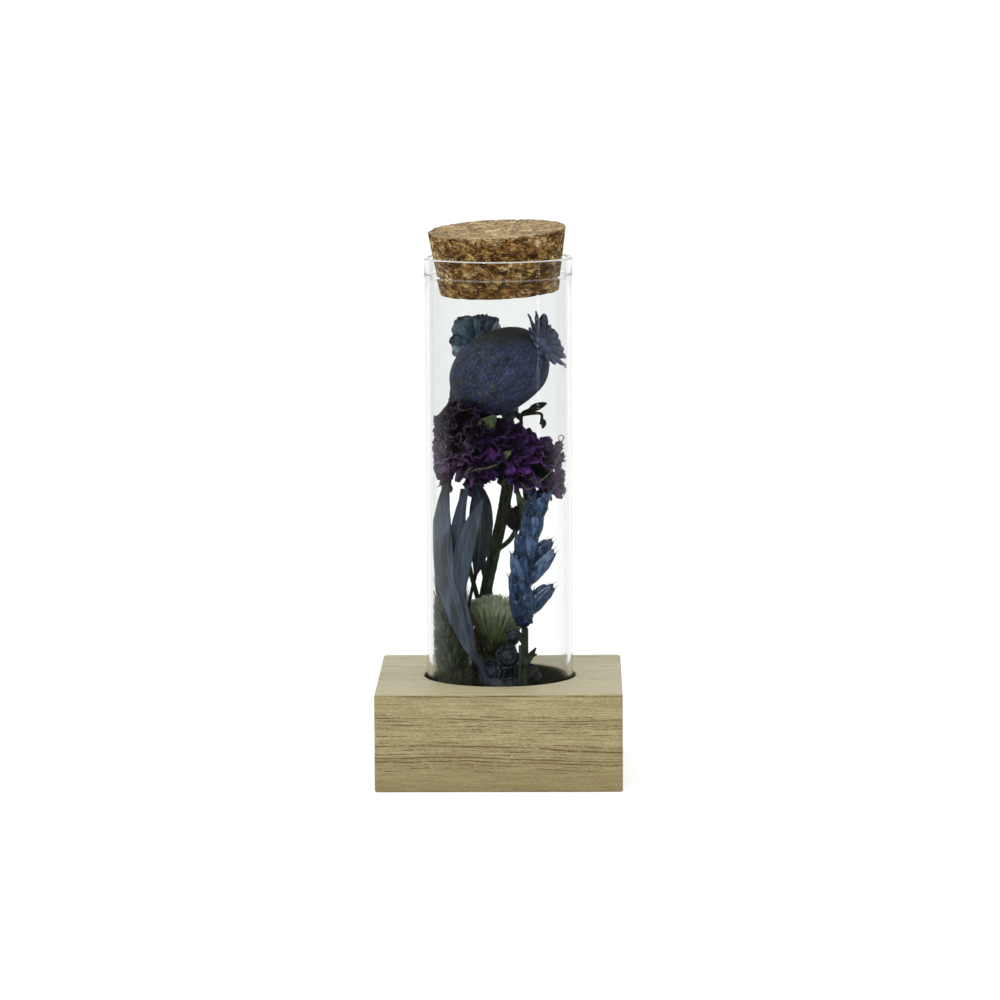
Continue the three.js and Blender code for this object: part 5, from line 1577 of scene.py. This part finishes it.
def blue_blooms():
    """Small round blooms of many cupped petals, on a shared stem."""
    shape = Shape()
    shape.rod([(2.6, -1.6, FLOOR), (2.5, -1.6, 10), FORK], 0.8, 12, 12, tone=0.1)
    for n, (middle, toward, radius) in enumerate(BLUE_BLOOMS):
        direction = unit(vec(*toward))
        axes = across(direction)
        back = vec(*middle) - direction * radius * 0.75
        shape.rod([FORK, FORK + (back - FORK) * 0.55 + vec(0, 0.5, 0), back], 0.42, 9, 24, tone=0.1)
        shape.bulb(vec(*middle), direction, BLOOM_HEART, 16, 0.06, 5, 0.1, radius)
        for layer, (count, lean, length) in enumerate(BLOOM_LAYERS):
            for k in range(count):
                radial = ray(axes, TAU * (k + layer * 0.37) / count + n)
                shape.petal(
                    0.16, (k * 0.43 + 0.2 * layer) % 1,
                    back + direction * radius * 0.12 * layer + radial * radius * (0.34 - 0.06 * layer),
                    unit(direction + radial * lean), direction, radius * length,
                    radius * (0.95 - 0.12 * layer), 0.3, 0.4, foot=0.6, ruffle=0.12 * radius,
                    waves=1.3, phase=k * 1.3 + n, rows=12, columns=9,
                )
    piece("blue_bloom_petals", shape, plant(
        "bloom_blue", [(11, 15, 18), (28, 35, 42), (48, 58, 68), (84, 96, 106)], 0.9, veins=5.0, depth=0.4,
        tone=0.35, along=0.5, relief=0.15,
    ), "bloom_blue", "blue_blooms")


def ear_radius(t):
    return 1.1 + 2 * np.sin(math.pi * (0.12 + 0.76 * t)) ** 0.7


def grass_ear():
    """Fuzzy ear: a core with very many soft bristles that stand out and up all round."""
    random = Draws(7)
    path = Path(GRASS_AXIS)
    shape = Shape()
    shape.rod(GRASS_AXIS, lambda t: ear_radius(t) * 0.92, 24, 50, tone=0.2, lumps=0.1)
    shape.rod(GRASS_CULM, 0.7, 10, 16, tone=0.2)
    i = np.arange(BRISTLES)
    t = 0.01 + 0.98 * ((i + 0.5) / BRISTLES) ** 0.85
    out = ray(LEVEL, i * GOLDEN_ANGLE)
    along = unit(out + UP * random.many(BRISTLES, 0.8, 2.2)[:, None])
    reach = random.many(BRISTLES, 1.6, 3.3)[:, None]
    high = np.clip((t - 0.72) / 0.28, 0, 1)[:, None]
    start = path.at(t) + out * (ear_radius(t) * 0.8)[:, None]
    end = inside_glass(start + unit(along + UP * 2.2 * high) * reach * (1 + 0.7 * high))
    mid = (start + end) / 2 + out * 0.25
    shape.hairs(start, mid, end, 0.12, 0.04, random.many(BRISTLES, 0, 1), 3)
    piece("grass_bristles", shape, plant(
        "grass_green", [(34, 41, 28), (66, 76, 57), (94, 104, 84), (134, 143, 122)], 1.4, tone=0.6,
        along=0.2, relief=0.15,
    ), "grass_green", "grass_ear")


stage()
wooden_block()
glass_tube()
cork_stopper()
poppy()
teal_head()
small_bud()
statice()
statice_stem()
young_calyx()
dark_twig()
leafy_sprig()
wheat_ear()
wheat_straws()
brush_base()
brush_florets()
blue_blooms()
grass_ear()
